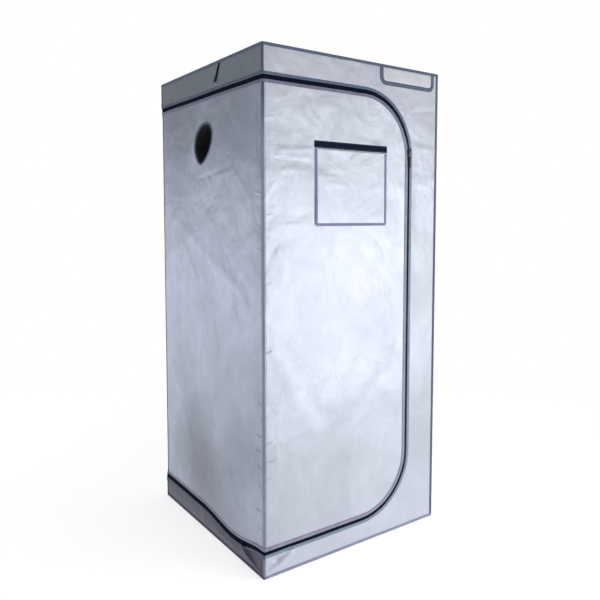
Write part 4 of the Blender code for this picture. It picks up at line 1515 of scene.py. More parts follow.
@dataclass
class ZipLine:
    """The door's long zip: its path over the left and front walls, and the pieces that follow it."""

    near_edge: float = 0.02
    tape: float = 0.0074
    slim_tape: float = 0.0046
    frame_band: float = 0.0175
    door_band: float = 0.0185
    coil: float = 0.001
    tooth: Place = (0.0017, 0.003, 0.0012)
    tooth_pitch: float = 0.003
    low_slim: float = 0.6
    across_points: int = 55
    turn_points: int = 45
    upright_points: int = 143

    def spread(self, offset: float, slim: Rows) -> Rows:
        """An offset as it is where the tape narrows.

        Args:
            offset: the distance from the zip's middle, positive on the cabinet's side.
            slim: how narrow the tape is: 0 on the top run and 1 down the side and below.

        Returns:
            The distance at each point.
        """
        size, band = abs(offset), self.frame_band if offset > 0 else self.door_band
        if size <= self.coil:
            return np.full(len(slim), offset)
        tape = self.tape + (self.slim_tape - self.tape) * slim
        beyond = tape + (size - self.tape) * (band - tape) / (band - self.tape)
        return math.copysign(1, offset) * np.where(size <= self.tape, tape * size / self.tape, beyond)

    def front(self, offset: float) -> Rows:
        """The front wall's D from its upper left end round to its lower left end.

        Args:
            offset: the distance from the zip's middle.

        Returns:
            The path's points, as u and v.
        """
        n, m, k = self.across_points, self.turn_points, self.upright_points
        slim = np.concatenate([np.zeros(n), np.linspace(0, 1, m), np.ones(k),
                               np.linspace(1, self.low_slim, m), np.full(n, self.low_slim)])
        above, first, beside, second, below = np.split(self.spread(offset, slim), np.cumsum([n, m, k, m]))
        centre_u = PLAN.zip_x - PLAN.zip_radius
        high, low = PLAN.zip_top - PLAN.zip_radius, PLAN.zip_bottom + PLAN.zip_radius
        across = np.linspace(-PLAN.skin, centre_u, n + 1)[:-1]
        turn = np.linspace(math.pi / 2, 0, m)
        first, second = PLAN.zip_radius + first, PLAN.zip_radius + second
        u = [across, centre_u + first * np.cos(turn), PLAN.zip_x + beside,
             centre_u + second * np.cos(-turn[::-1]), across[::-1]]
        v = [PLAN.zip_top + above, high + first * np.sin(turn), np.linspace(high, low, k + 2)[1:-1],
             low + second * np.sin(-turn[::-1]), PLAN.zip_bottom - below]
        return np.stack([np.concatenate(u), np.concatenate(v)], axis=1)

    def whole(self, offset: float) -> Rows:
        """The whole path: the left wall's top run, the D, and the left wall's lower run.

        Args:
            offset: the distance from the zip's middle.

        Returns:
            The path's points, as t and v.
        """
        t = np.linspace(-2 * PLAN.skin, 0, PLAN.points_across)[:-1]
        top = np.stack([t, PLAN.zip_top + self.spread(offset, t * 0)], axis=1)
        slim = self.low_slim - 1.4 * soft_step(-t, 0.0, 0.16)
        low = np.stack([t, PLAN.zip_bottom - sag(t + PLAN.skin) - self.spread(offset, slim)], axis=1)[::-1]
        return np.concatenate([top, self.front(offset) + np.array([PLAN.skin, 0.0]), low])

    def spans(self) -> dict[str, slice]:
        """Splits the path beside the front left edge.

        Returns:
            The path's parts by name. Neighbours share a point.
        """
        t = self.whole(0.0)[:, 0]
        middle = len(t) // 2
        a, b = (int(np.argmax(t > edge)) for edge in (-self.near_edge, self.near_edge))
        c, d = (middle + int(np.argmax(t[middle:] < edge)) for edge in (self.near_edge, -self.near_edge))
        return {"top": slice(0, a + 1), "top_turn": slice(a, b + 1), "front": slice(b, c + 1),
                "low_turn": slice(c, d + 1), "low": slice(d, len(t))}

    def half(self, tag: str, side: int, part: slice = slice(None)) -> list[Piece]:
        """One half of the zip: its tape, its binding, its teeth and two rows of stitches.

        Args:
            tag: the end of the pieces' names.
            side: 1 for the cabinet's half and -1 for the door's.
            part: the stretch of the path.

        Returns:
            The pieces.
        """
        band, look, thread, start = ((self.frame_band, ZIP_OUTER, BLUE_THREAD, 0.0) if side > 0 else
                                     (self.door_band, ZIP_INNER, TRIM_THREAD, self.tooth_pitch / 2))

        def line(offset: float) -> Rows:
            """That stretch of the path at an offset."""
            return self.whole(offset)[part]

        def strip(kind: str, near: float, far: float, look: Finish, thick: float) -> Piece:
            """A strip between two distances from the zip's middle."""
            inner, outer = sorted((side * near, side * far))
            return Strip(f"zip_{kind}_{tag}", on_wrap, line, inner, outer, look, thick).build()

        return [strip("tape", self.coil, self.tape + 0.0006, ZIP_TAPE, 0.0007),
                strip("binding", self.tape, band, look, 0.0013),
                dashes(f"zip_teeth_{tag}", on_wrap, line(0.0), ZIP_COIL, self.tooth_pitch, self.tooth, 0.0004,
                       start, side * 0.0012),
                stitch(f"zip_stitches_{tag}", on_wrap, line(side * (self.tape + 0.0014)), 0.0016, thread),
                stitch(f"zip_stitches_{tag}_edge", on_wrap, line(side * (band - 0.0013)), 0.0016, thread)]

    def door_half(self, part: str) -> list[Piece]:
        """The door's half of the zip along one part of the path."""
        return self.half(f"door_{part}", -1, self.spans()[part])


ZIP = ZipLine()


@dataclass
class Cabinet:
    """The cloth walls, roof and floor, their bindings, and the cabinet's half of the zip."""

    tape_foot: float = 0.0109
    tape_head: float = 1.7887
    rear_header: float = 1.6908
    rear_sill: float = 0.0912
    front_header: float = 1.7079
    front_sill: float = 0.0741
    wide_leg: float = 0.0125
    slim_leg: float = 0.0048
    strap_gap: Pair = (0.104, 0.133)
    top_section: tuple[Pair, ...] = (
        (1.7888, 0.0003), (1.7888, 0.0014), (1.7897, 0.0021), (1.7945, 0.0024), (1.7985, 0.002),
        (1.7996, 0.0006), (1.7999, -0.001), (1.8, -0.005), (1.7998, -0.0078), (1.799, -0.008),
        (1.7986, -0.0074), (1.7986, 0.0003))
    low_section: tuple[Pair, ...] = (
        (0.0108, 0.0003), (0.0108, 0.0012), (0.01, 0.0017), (0.0052, 0.002), (0.0012, 0.0017),
        (0.0005, 0.0009), (0.0005, 0.0003))

    def build(self) -> None:
        """Makes the cabinet's cloth and hangs it on the tent."""
        skin, end, top, slot = PLAN.skin, PLAN.side_end, PLAN.top, PLAN.half_slot
        sewn = self.bindings()
        halves = ZIP.half("frame", 1)
        dress(halves, "tent", "zip_tape", ["frame_zip_front", "frame_zip_side_top", "frame_zip_side_bottom"])
        square, rear = oblong(-end, end, -end, end), oblong(-skin, skin, 0, top)
        right, header = oblong(-end, end, 0, top), oblong(-end, end, PLAN.zip_top + slot, top)
        rim = [*ZIP.front(slot).tolist(), *rear][::-1]
        u = np.linspace(-end, end, PLAN.points_across)
        sill_line = np.stack([u, PLAN.zip_bottom - sag(u) - slot], axis=1)[::-1].tolist()
        for name, wall, outline, look, step, node, bound in (
            ("roof", Wall.ROOF, square, SURROUND_CLOTH_PAINTED_SHADE, 0.016, "roof_panel", sewn["top"]),
            ("floor", Wall.FLOOR, square, FLOOR_CLOTH, 0.03, "floor_panel", ()),
            ("back", Wall.BACK, rear, SURROUND_CLOTH_PAINTED_SHADE, 0.014, "back_wall", sewn["rear"]),
            ("right", Wall.RIGHT, right, SURROUND_CLOTH_PAINTED_SHADE, 0.014, "right_wall", sewn["right"]),
            ("front_surround", Wall.FRONT, rim, SURROUND_CLOTH_PAINTED_SHADE, 0.008, "front_surround", halves),
            ("left_header", Wall.LEFT, header, HEADER_CLOTH_PAINTED_SHADE, 0.007, "left_header", ()),
            ("left_sill", Wall.LEFT, [(-end, 0), (end, 0), *sill_line], SILL_CLOTH_PAINTED_SHADE, 0.005, "left_sill", ()),
        ):
            lining, kind = (None, "floor_cloth") if wall is Wall.FLOOR else (LINING, "silver_cloth")
            extra = self.sill_bulge if name == "left_sill" else None
            ClothPanel(f"{name}_cloth", wall, outline, look, step, lining=lining, extra=extra).build(
                "tent", [node], kind, bound)

    @staticmethod
    def sill_bulge(u: Rows, v: Rows) -> Rows:
        """How far the slack sill stands out over the floor's edge."""
        share = np.clip(v / (PLAN.zip_bottom - sag(u)), 0, 1)
        return 0.0035 * np.sin(math.pi * share) ** 2 * soft_step(PLAN.skin - np.abs(u), 0.004, 0.05)

    def bindings(self) -> dict[str, list[Piece]]:
        """Makes the tapes on the edges of the box and the stitches in them.

        Returns:
            The tapes, grouped by the cloth that they are sewn to.
        """
        foot, head, slim = self.tape_foot, self.tape_head, self.slim_leg
        top = ring_tape("top_binding_tape", self.top_section, BLUE_TAPE)
        # The bottom binding takes the lighter copy of the purple tape, painted light from below.
        low = ring_tape("bottom_binding_tape", self.low_section, FOOT_TAPE_PAINTED_LIGHT)
        rear_right = corner_tape(Corner.REAR_RIGHT, foot, head, BLUE_TAPE)
        front_right = corner_tape(Corner.FRONT_RIGHT, foot, head, PURPLE_TAPE, self.wide_leg)
        rear_left = [corner_tape(Corner.REAR_LEFT, self.rear_header, head, BLUE_TAPE, part="header"),
                     corner_tape(Corner.REAR_LEFT, foot, self.rear_sill, BLUE_TAPE, part="sill")]
        front_left = [corner_tape(Corner.FRONT_LEFT, self.front_header, head, CORNER_TAPE, slim, "header"),
                      corner_tape(Corner.FRONT_LEFT, foot, self.front_sill, CORNER_TAPE, slim, "sill")]
        dress([top], "tent", "blue_tape", ["top_binding"])
        dress([low], "tent", "purple_tape", ["bottom_binding"])
        dress([rear_right], "tent", "blue_tape", ["corner_binding_rear_right"])
        dress([front_right], "tent", "purple_tape", ["corner_binding_front_right"])
        dress(rear_left, "tent", "blue_tape", ["corner_binding_rear_left"])
        dress(front_left, "tent", "purple_tape")
        dress(self.seams(), "tent", "blue_tape")
        return {"top": [top, low], "rear": [rear_right, *rear_left], "right": [front_right]}

    def seams(self) -> list[Piece]:
        """The stitches along the edges of the four walls.

        Returns:
            The rows of stitches.
        """
        ends, side_u, seams = PLAN.skin - 0.004, PLAN.skin - 0.0078, []
        for wall in (Wall.FRONT, Wall.RIGHT, Wall.BACK, Wall.LEFT):
            for z, tag, w in ((1.7905, "top", 0.0022), (0.0092, "bottom", 0.0018)):
                whole = [(-ends, ends)]
                if wall is Wall.LEFT and tag == "top":
                    whole = [(-ends, self.strap_gap[0]), (self.strap_gap[1], ends)]
                seams += [stitch(f"stitches_{tag}_{wall.value}_{k}", wall_surface(wall),
                                 straight((a, z), (b, z)), w)
                          for k, (a, b) in enumerate(whole)]
            for side, tag in ((-1, "left"), (1, "right")):
                if wall in (Wall.RIGHT, Wall.BACK) or (wall is Wall.FRONT and side > 0):
                    row = straight((side * side_u, 0.012), (side * side_u, 1.789))
                    seams.append(stitch(f"stitches_{wall.value}_{tag}", wall_surface(wall), row, 0.0015))
        return seams


def edge_seam(wall: Wall, side: int, body: str) -> Piece:
    """The stitches beside the sewn front left edge, on one part of the door.

    Args:
        wall: the wall that the part is on.
        side: the side of the wall that the edge is on.
        body: the part of the door.

    Returns:
        The row of stitches.
    """
    u = side * (PLAN.skin - 0.0105)
    seam = stitch(f"{body}_edge_stitches", wall_surface(wall), straight((u, 0.112), (u, 1.67)), 0.0004)
    dress([seam], body, "purple_tape")
    return seam


@dataclass
class SideDoor:
    """The left part of the door: its cloth, zip, port, sleeve and the tapes on its two upright edges."""

    port: Pair = (-0.019, 1.518)
    port_radius: float = 0.069
    port_point: float = 0.007
    port_lean: float = 0.24
    collar: float = 0.0062
    sleeve_length: float = 0.14
    bend: float = 0.009

    def ring(self, radius: float) -> Rows:
        """The port's ring, drawn to a point at its foot.

        Args:
            radius: the ring's radius.

        Returns:
            The ring's points, as u and v.
        """
        angle = np.linspace(0, 2 * math.pi, 120, endpoint=False)
        reach = radius + self.port_point * np.maximum(0, -np.sin(angle)) ** 9
        up = reach * np.sin(angle)
        right = reach * np.cos(angle) * (1 + 0.12 * np.sin(angle)) + self.port_lean * up
        return np.stack([self.port[0] + right, self.port[1] + up], axis=1)

    def sleeve(self) -> None:
        """Makes the limp duct sleeve, turned inwards, with pleats that deepen towards its hem."""
        base = self.ring(self.port_radius - 0.0006)
        from_port = base - np.array(self.port)
        angle = np.arctan2(from_port[:, 1], from_port[:, 0])
        fold = np.sin(angle * 17 + 1.4 * np.sin(angle * 3)) * 0.6 + np.sin(angle * 7 + 2.0) * 0.4
        rows, runs = [], []
        for share in (0.0, 0.03, *np.linspace(0.08, 0.95, 22), 0.962, 0.975, 0.988, 1.0):
            depth = soft_step(np.array(share), 0.0, 0.6)
            hem = 0.012 if 0.95 < share < 0.99 else 0.0
            radius = 1 - 0.06 * share - depth * 0.03 * (1 + fold)
            radius = radius - depth * 0.02 * np.sin(share * 19 + angle * 2) - hem
            u = self.port[0] + from_port[:, 0] * radius
            v = self.port[1] + from_port[:, 1] * radius - 0.002 * share
            rows.append(on_wall(Wall.LEFT, u, v, -0.0013 - self.sleeve_length * share))
            runs.append(with_cross(angle * self.port_radius, share * self.sleeve_length))
        piece = loft("duct_sleeve_cloth", rows, runs, SLEEVE_CLOTH, closed_section=False, ring=True)
        thicken(piece, 0.0008, 1)
        dress([piece], "side_door", "black_webbing", ["duct_sleeve"])

    def build(self) -> None:
        """Makes the side door's cloth and trim."""
        end, rear = PLAN.side_end, -PLAN.side_end + 0.001
        u = np.linspace(rear, end, PLAN.points_across)
        low = np.stack([u, PLAN.zip_bottom - sag(u) + PLAN.half_slot], axis=1).tolist()
        top = PLAN.zip_top - PLAN.half_slot

        def ring_line(offset: float) -> Rows:
            """The collar's line, closed."""
            return self.ring(self.port_radius + offset)

        left = wall_surface(Wall.LEFT)
        collar = Strip("duct_port_rim", left, ring_line, 0.0, self.collar, BLUE_TAPE, 0.0018,
                       ring=True).build()
        seam_line = ring_line(0.0046)
        seam = stitch("duct_port_stitches", left, np.concatenate([seam_line, seam_line[:1]]), 0.002)
        zips = ZIP.door_half("top") + ZIP.door_half("low")
        dress([collar, seam], "side_door", "blue_tape", ["duct_port_collar"])
        dress(zips, "side_door", "zip_tape", ["door_zip_side_top", "door_zip_side_bottom"])
        edge = edge_seam(Wall.LEFT, 1, "side_door")
        ClothPanel("side_door_cloth", Wall.LEFT, [*low, (end, top), (rear, top)], SIDE_CLOTH_PAINTED_SHADE, 0.0085,
                   [self.ring(self.port_radius)], lambda p: p[:, 0] > 0.345, lining=LINING).build(
            "side_door", ["side_door_panel"], "silver_cloth", [collar, seam, edge, *zips])
        self.sleeve()
        self.hinge_tapes()

    def hinge_tapes(self) -> None:
        """Makes the tapes over the door's two folding edges."""
        rear = corner_tape(Corner.REAR_LEFT, 0.0925, 1.6894, BLUE_TAPE, part="door")
        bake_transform(rear)
        front = corner_tape(Corner.FRONT_LEFT, 0.1109, 1.6711, CORNER_TAPE, 0.0048, "door")
        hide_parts("door_corner_binding")
        turns = ZIP.door_half("top_turn") + ZIP.door_half("low_turn")
        for piece in (front, *turns):
            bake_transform(piece)
        LOG.info("hinge tapes bend with the door")


@dataclass
class FrontDoor:
    """The D-shaped front part of the door, with its window."""

    flap_left: float = -0.1954
    flap_right: float = 0.1366
    flap_top: float = 1.475
    flap_low: float = 1.205
    inset: float = 0.02
    lap: float = 0.012
    strap_low: float = 1.476
    strap_high: float = 1.5
    strap_over: float = 0.002

    def build(self) -> None:
        """Makes the front door's cloth, zip, film and strap."""
        a, b = self.flap_left + self.inset, self.flap_right - self.inset
        c, d = self.flap_low + self.inset, self.flap_top - self.inset
        line = ZIP.front(-PLAN.half_slot)
        line[:, 0] = np.maximum(line[:, 0], -PLAN.skin + 0.001)
        front = wall_surface(Wall.FRONT)
        zips = ZIP.door_half("front")
        dress(zips, "front_door", "zip_tape", ["door_zip_front"])
        pane = oblong(a - self.lap, b + self.lap, c - self.lap, d + self.lap)
        ClothPanel("window_pane", Wall.FRONT, pane, FILM, 0.01, w=-0.0013, thickness=0.0005, seam=0.0).build(
            "front_door", ["window_film"], "window_film")

        def strap_line(offset: float) -> Rows:
            """A line along the strap at a height above its foot."""
            z, over = self.strap_low + offset, self.strap_over
            return straight((self.flap_left - over, z), (self.flap_right + over, z), 0.006)

        strap = Strip("window_strap_webbing", front, strap_line, 0.0, self.strap_high - self.strap_low,
                      WEBBING, 0.0014).build()
        seams = [stitch(f"window_strap_stitches_{k}", front, strap_line(h), 0.0018)
                 for k, h in enumerate((0.003, 0.021))]
        dress([strap, *seams], "front_door", "black_webbing", ["window_strap"])
        edge = edge_seam(Wall.FRONT, -1, "front_door")
        ClothPanel("front_door_cloth", Wall.FRONT, line[::-1].tolist(), FRONT_CLOTH, 0.0085,
                   [oblong(a, b, c, d)], lambda p: p[:, 0] < -0.345, lining=LINING).build(
            "front_door", ["front_door_panel"], "silver_cloth", [strap, *seams, edge, *zips])
        self.flap()

    def flutter(self, u: Rows, v: Rows) -> Rows:
        """How the loose flap lifts off the door towards its foot and its free sides.

        Args:
            u: how far right each point is.
            v: how high it is.

        Returns:
            The lift of each point.
        """
        drop = np.clip((self.flap_top - v) / (self.flap_top - self.flap_low), 0, 1)
        side = np.minimum(u - self.flap_left, self.flap_right - u)
        curl = 0.0016 * bell(side, 0.03) * (0.5 + 0.5 * RELIEF.noise(v * 26 + 3, u * 3))
        wave = 0.0016 * (0.5 + 0.5 * RELIEF.noise(u * 13 + 7, v * 5))
        return soft_step(drop, 0.02, 0.9) * (wave + np.maximum(curl, 0))

    def flap(self) -> None:
        """Makes the window's flap and its edging."""
        left, right, top, over = self.flap_left, self.flap_right, self.flap_top, 0.0012
        edge = Pocket(left, right, top - 0.004, self.flap_low, 0.013, 0.008, 10)
        rim = [*edge.line(over).tolist(), (right - over, top), (left + over, top)]

        def lifted(u: Rows, v: Rows, w: Rows) -> Rows:
            """The front wall, with the flap's own lift."""
            return on_wall(Wall.FRONT, u, v, w + self.flutter(u, v))

        edging = Strip("window_flap_edging", lifted, edge.line, 0.0, 0.01, TRIM_TAPE, 0.0011, 0.0015).build()
        seam = stitch("window_flap_stitches", lifted, edge.line(0.0085), 0.0026, TRIM_THREAD)
        dress([edging, seam], "window_flap", "purple_tape", ["window_flap_edge"])
        ClothPanel("window_flap_cloth", Wall.FRONT, rim, FRONT_CLOTH, 0.006, w=0.0013, lining=LINING,
                   extra=self.flutter, seam=0.003).build(
            "window_flap", ["window_flap"], "silver_cloth", [edging, seam])


@dataclass
class NamePatch:
    """The bare tab on the front header, with tape round it."""

    outline: Pocket = Pocket(0.1, 0.383, 1.7907, 1.7247, 0.03, 0.006, 16)
    edge: float = 0.016

    def build(self) -> None:
        """Makes the patch and its tape."""
        front, line = wall_surface(Wall.FRONT), self.outline.line
        tape = Strip("name_patch_tape", front, line, 0.0, self.edge, BLUE_TAPE, 0.0014).build()
        seams = [stitch(f"name_patch_stitches_{k}", front, line(d), 0.0017)
                 for k, d in enumerate((0.002, 0.0142))]
        dress([tape, *seams], "tent", "blue_tape", ["name_patch_edge"])
        rim = line(self.edge - 0.001).tolist()
        ClothPanel("name_patch_cloth", Wall.FRONT, rim, PATCH_CLOTH, 0.006, w=0.0012, thickness=0.0008,
                   seam=0.001).build("tent", ["name_patch"], "silver_cloth", [tape, *seams])


@dataclass
class TieStrap:
    """The webbing strap that holds the rolled door. It hangs askew from the header."""

    head: float = 0.1185
    foot: float = 0.0885
    top: float = 1.7904
    length: float = 0.066
    half: float = 0.008
    seam: float = 0.0062
    seam_points: int = 6

    def line(self, offset: float) -> Rows:
        """A line down the strap at an offset to its middle."""
        return straight((self.head + offset, self.top), (self.foot + offset, self.top - self.length), 0.003)

    def hang(self, u: Rows, v: Rows, w: Rows) -> Rows:
        """The left wall, with the strap's own curl."""
        share = np.clip((self.top - v) / self.length, 0, 1)
        return on_wall(Wall.LEFT, u, v, w + 0.003 * share**2 + 0.0012 * np.sin(share * 5.5) ** 2 * share)

    def build(self) -> None:
        """Makes the strap and its stitches."""
        strap = Strip("tie_strap_webbing", self.hang, self.line, -self.half, self.half, WEBBING).build()
        rows = [self.line(side)[:self.seam_points] for side in (-self.seam, self.seam)]
        seams = [stitch(f"tie_strap_stitches_{k}", self.hang, row, 0.0015, PALE_THREAD)
                 for k, row in enumerate(rows)]
        dress([strap, *seams], "tie_strap", "black_webbing", ["tie_strap"])


@dataclass
class Slider:
    """The zip's metal slider, the plate behind the zip, and the moulded pull."""

    u: float = 0.252
    v: float = 1.475
    face: float = 0.0018
    plate: float = 0.0018
    pin_v: float = 1.463
    pin_w: float = 0.006
    arch_points: int = 15
    ribs: int = 5

    def block(
        self, name: str, us: Pair, vs: Pair, ws: Pair, look: Finish,
        bevel: float,
    ) -> Piece:
        """A small block given by its reach in u, v and w about the zip's line."""
        return slab(name, Wall.FRONT, oblong(self.u + us[0], self.u + us[1], *vs), *ws, look, bevel)

    def on_pin(self, name: str, half: float, profile: Sequence, look: Finish, steps: int) -> Piece:
        """A round piece about the pin's line, given by half its length."""
        ends = [(self.u + side * half, -PLAN.skin - self.pin_w, self.pin_v) for side in (-1, 1)]
        return turned(name, *ends, profile, look, steps)

    def outline(self, half: Sequence[Pair], v: float, side: int) -> list[Pair]:
        """A whole outline from its half, which starts on one side of the zip's line."""
        other = [(self.u - side * a, v + b) for a, b in half[::-1]]
        return [(self.u + side * a, v + b) for a, b in half] + other

    def build(self) -> None:
        """Makes the slider, its crown, pin, back plate and pull."""
        half = [(0.0066, -0.025), (0.0076, -0.0238), (0.0078, -0.014), (0.0088, -0.004), (0.0105, 0.005),
                (0.0105, 0.0185), (0.0094, 0.0228), (0.0068, 0.025)]
        shield = self.outline(half, self.v, 1)
        raised = [(self.u + (x - self.u) * 0.62, self.v + (z - self.v) * 0.78) for x, z in shield]
        low, high, foot = self.face, self.face + self.plate, self.v - 0.025
        body = slab("zip_slider_body", Wall.FRONT, shield, low, high, ZINC, 0.0006)
        step = slab("zip_slider_step", Wall.FRONT, raised, high - 0.0004, high + 0.0007, ZINC, 0.0005)
        crown = self.crown(high)
        lugs = [self.block(f"zip_slider_lug_{k}", reach, (self.pin_v - 0.0028, self.pin_v + 0.0028),
                           (high - 0.0009, self.pin_w + 0.0011), ZINC, 0.0006)
                for k, reach in enumerate(((-0.0063, -0.0049), (0.0049, 0.0063)))]
        pin = self.on_pin("zip_slider_pin", 0.0061,
                          [(0, 0.0002), (0, 0.0008), (0.0122, 0.0008), (0.0122, 0.0002)], ZINC, 16)
        dress([body, step, crown, *lugs, pin], "zip_slider", "slider_metal", ["zip_slider"])
        neck = self.block("slider_neck", (-0.0006, 0.0006), (foot, foot + 0.015), (-0.002, low), ZINC, 0.0002)
        shoe = self.block("slider_back_shoe", (-0.0095, 0.0095), (foot, foot + 0.032), (-0.0036, -0.0024),
                          ZINC, 0.0005)
        dress([shoe, neck], "zip_slider", "slider_metal", ["slider_back_plate"])
        self.pull()

    def crown(self, high: float) -> Piece:
        """The arched bridge over the slider's plate.

        Args:
            high: the w of the plate's face.

        Returns:
            The bridge.
        """
        turn = np.linspace(0, math.pi, self.arch_points)
        v = self.v + 0.0065 + 0.0125 * np.cos(turn)
        rows, runs = [], []
        for across, grow in ((-0.0021, 0.0), (-0.0021, 0.0009), (-0.0013, 0.0013), (0.0013, 0.0013),
                             (0.0021, 0.0009), (0.0021, 0.0)):
            w = high - 0.0006 + (0.0036 + grow) * np.sin(turn) ** 0.6
            rows.append(on_wall(Wall.FRONT, np.full(len(turn), self.u + across), v, w, False))
            runs.append(with_cross(v, across))
        # The lighter zinc here is a painted highlight along the crown.
        return loft("zip_slider_crown", rows, runs, ZINC_PAINTED_HIGHLIGHT)

    def pull(self) -> None:
        """The moulded pull: a waisted tab with grip ribs, on a barrel round the pin."""
        half = [(0.0043, 0.0), (0.004, -0.006), (0.0042, -0.011), (0.0053, -0.019), (0.006, -0.027),
                (0.0056, -0.0325), (0.004, -0.0353), (0.0014, -0.036)]
        body = slab("zip_pull_tab", Wall.FRONT, self.outline(half, self.pin_v, -1), self.pin_w - 0.0008,
                    self.pin_w + 0.0008, BLACK_PLASTIC, 0.0005)
        heights = [self.pin_v - 0.0185 - 0.003 * k for k in range(self.ribs)]
        ribs = [self.block(f"zip_pull_rib_{k}", (-0.0042, 0.0042), (v - 0.0006, v + 0.0006),
                           (self.pin_w + 0.0005, self.pin_w + 0.0013), BLACK_PLASTIC, 0.0003)
                for k, v in enumerate(heights)]
        profile = [(0.0, 0.0017), (0.0004, 0.0021), (0.0086, 0.0021), (0.009, 0.0017), (0.009, 0.0011),
                   (0, 0.0011)]
        barrel = self.on_pin("zip_pull_barrel", 0.0045, profile, BLACK_PLASTIC, 24)
        dress([body, barrel, *ribs], "zip_pull", "black_plastic", ["zip_pull"])


@dataclass
class TubeFrame:
    """The steel tubes with their moulded corners, and the two bars under the roof."""

    radius: float = 0.0095
    bore: float = 0.0087
    start: float = 0.0175
    split: float = 0.89925
    joint: float = 0.0003
    hub: float = 0.0125
    bar_radius: float = 0.0075
    bar_end: float = 0.3836
    bar_z: float = 1.7642
    bar_y: float = 0.14765
    hook_half: float = 0.007
    hook_foot: float = -0.0235

    def tube(self, name: str, start: Sequence[float], end: Sequence[float]) -> Piece:
        """A plain tube between two points, with broken edges at its ends.

        Args:
            name: the piece's name.
            start: the tube's start.
            end: its end.

        Returns:
            The tube.
        """
        length = (Vector(end) - Vector(start)).length
        r, b = self.radius, self.bore
        profile = [(0.0004, r), (length - 0.0004, r), (length, r - 0.0003), (length, b), (0.0, b),
                   (0.0, r - 0.0003)]
        return turned(name, start, end, profile, WHITE_STEEL)

    def connector(self, name: str, x: float, y: float, z: float) -> None:
        """A moulded corner: a rounded hub with three sockets that point into the cabinet.

        Args:
            name: the corner's name.
            x: its middle.
            y: its middle.
            z: its middle.
        """
        near = (-self.hub, self.hub)
        corners = np.array([(a, b, c) for c in near for b in near for a in near]) + np.array([x, y, z])
        faces = [(0, 2, 3, 1), (4, 5, 7, 6), (0, 1, 5, 4), (2, 6, 7, 3), (0, 4, 6, 2), (1, 3, 7, 5)]
        hub = make_piece(f"{name}_hub", corners, faces, BLACK_PLASTIC)
        soften(hub, 0.0028)
        profile = [(0.004, 0.0006), (0.004, 0.0115), (0.02, 0.0115), (0.0205, 0.0119), (0.0235, 0.0119),
                   (0.024, 0.0115), (0.056, 0.0115), (0.0566, 0.012), (0.0614, 0.012), (0.062, 0.0115),
                   (0.062, 0.0099), (0.0172, 0.0099), (0.017, 0.0006)]
        ends = {"x": (x - math.copysign(1, x), y, z), "y": (x, y - math.copysign(1, y), z),
                "z": (x, y, z + (1 if z < PLAN.middle else -1))}
        arms = [turned(f"{name}_socket_{key}", (x, y, z), end, profile, BLACK_PLASTIC)
                for key, end in ends.items()]
        dress([hub, *arms], "tent", "black_plastic", [name])

    def post(self, corner: str, x: float, y: float) -> None:
        """An upright in two tubes, the upper one with a spigot in the lower one.

        Args:
            corner: the corner's name.
            x: its place.
            y: its place.
        """
        low, high = PLAN.low_rail, PLAN.high_rail
        lower = self.tube(f"tube_lower_{corner}", (x, y, low + self.start), (x, y, self.split))
        dress([lower], "tent", "white_steel", [f"post_lower_{corner}"])
        length, r, b = high - self.start - self.split - self.joint, self.radius, self.bore
        profile = [(-0.04, 0.0082), (-0.0392, 0.0084), (-0.0006, 0.0084), (0.0, r - 0.0003), (0.0004, r),
                   (length, r), (length, b), (0.002, b), (0.0016, 0.0076), (-0.04, 0.0076)]
        foot = (x, y, self.split + self.joint)
        upper = turned(f"tube_upper_{corner}", foot, (x, y, high), profile, WHITE_STEEL)
        dress([upper], "tent", "white_steel", [f"post_upper_{corner}"])
        self.connector(f"connector_bottom_{corner}", x, y, low)
        self.connector(f"connector_top_{corner}", x, y, high)

    def build(self) -> None:
        """Makes the frame and the bars."""
        p, reach = PLAN.post, PLAN.post - self.start
        ends, sides = (("front", -1), ("rear", 1)), (("left", -1), ("right", 1))
        for end, j in ends:
            for side, i in sides:
                self.post(f"{end}_{side}", i * p, j * p)
        for level, z in (("bottom", PLAN.low_rail), ("top", PLAN.high_rail)):
            for side, sign in (*ends, *sides):
                across = (side, sign) in ends
                run = [(k * reach, sign * p, z) if across else (sign * p, k * reach, z) for k in (-1, 1)]
                rail = self.tube(f"tube_{level}_{side}", *run)
                dress([rail], "tent", "white_steel", [f"rail_{level}_{side}"])
        for side, sign in ends:
            self.bar(side, sign * self.bar_y)

    def bar(self, side: str, y: float) -> None:
        """A bar across the tent that hooks over both side rails.

        Args:
            side: the bar's name.
            y: its place.
        """
        r, end = self.bar_radius, self.bar_end
        length = 2 * end
        profile = [(0.0, 0.0005), (0.0, r - 0.0006), (0.0006, r), (length - 0.0006, r), (length, r - 0.0006),
                   (length, 0.0005)]
        rod = turned(f"bar_{side}_rod", (-end, y, self.bar_z), (end, y, self.bar_z), profile, WHITE_STEEL)
        inner, outer, turn = self.radius + 0.0004, self.radius + 0.0022, np.radians(np.linspace(0, 200, 29))
        rim = [(inner, self.hook_foot), (outer, self.hook_foot)]
        rim += [(outer * math.cos(a), outer * math.sin(a)) for a in turn]
        rim += [(inner * math.cos(a), inner * math.sin(a)) for a in turn[::-1]]
        low, high = (-PLAN.skin - y + half for half in (-self.hook_half, self.hook_half))
        hooks = []
        for sign, tag in ((-1, "left"), (1, "right")):
            outline = [(sign * (PLAN.post - a), PLAN.high_rail + b) for a, b in rim][::-sign]
            hooks.append(slab(f"bar_{side}_hook_{tag}", Wall.FRONT, outline, low, high, WHITE_STEEL, 0.0006))
        dress([rod, *hooks], f"hanging_bar_{side}", "white_steel", [f"hanging_bar_{side}"])


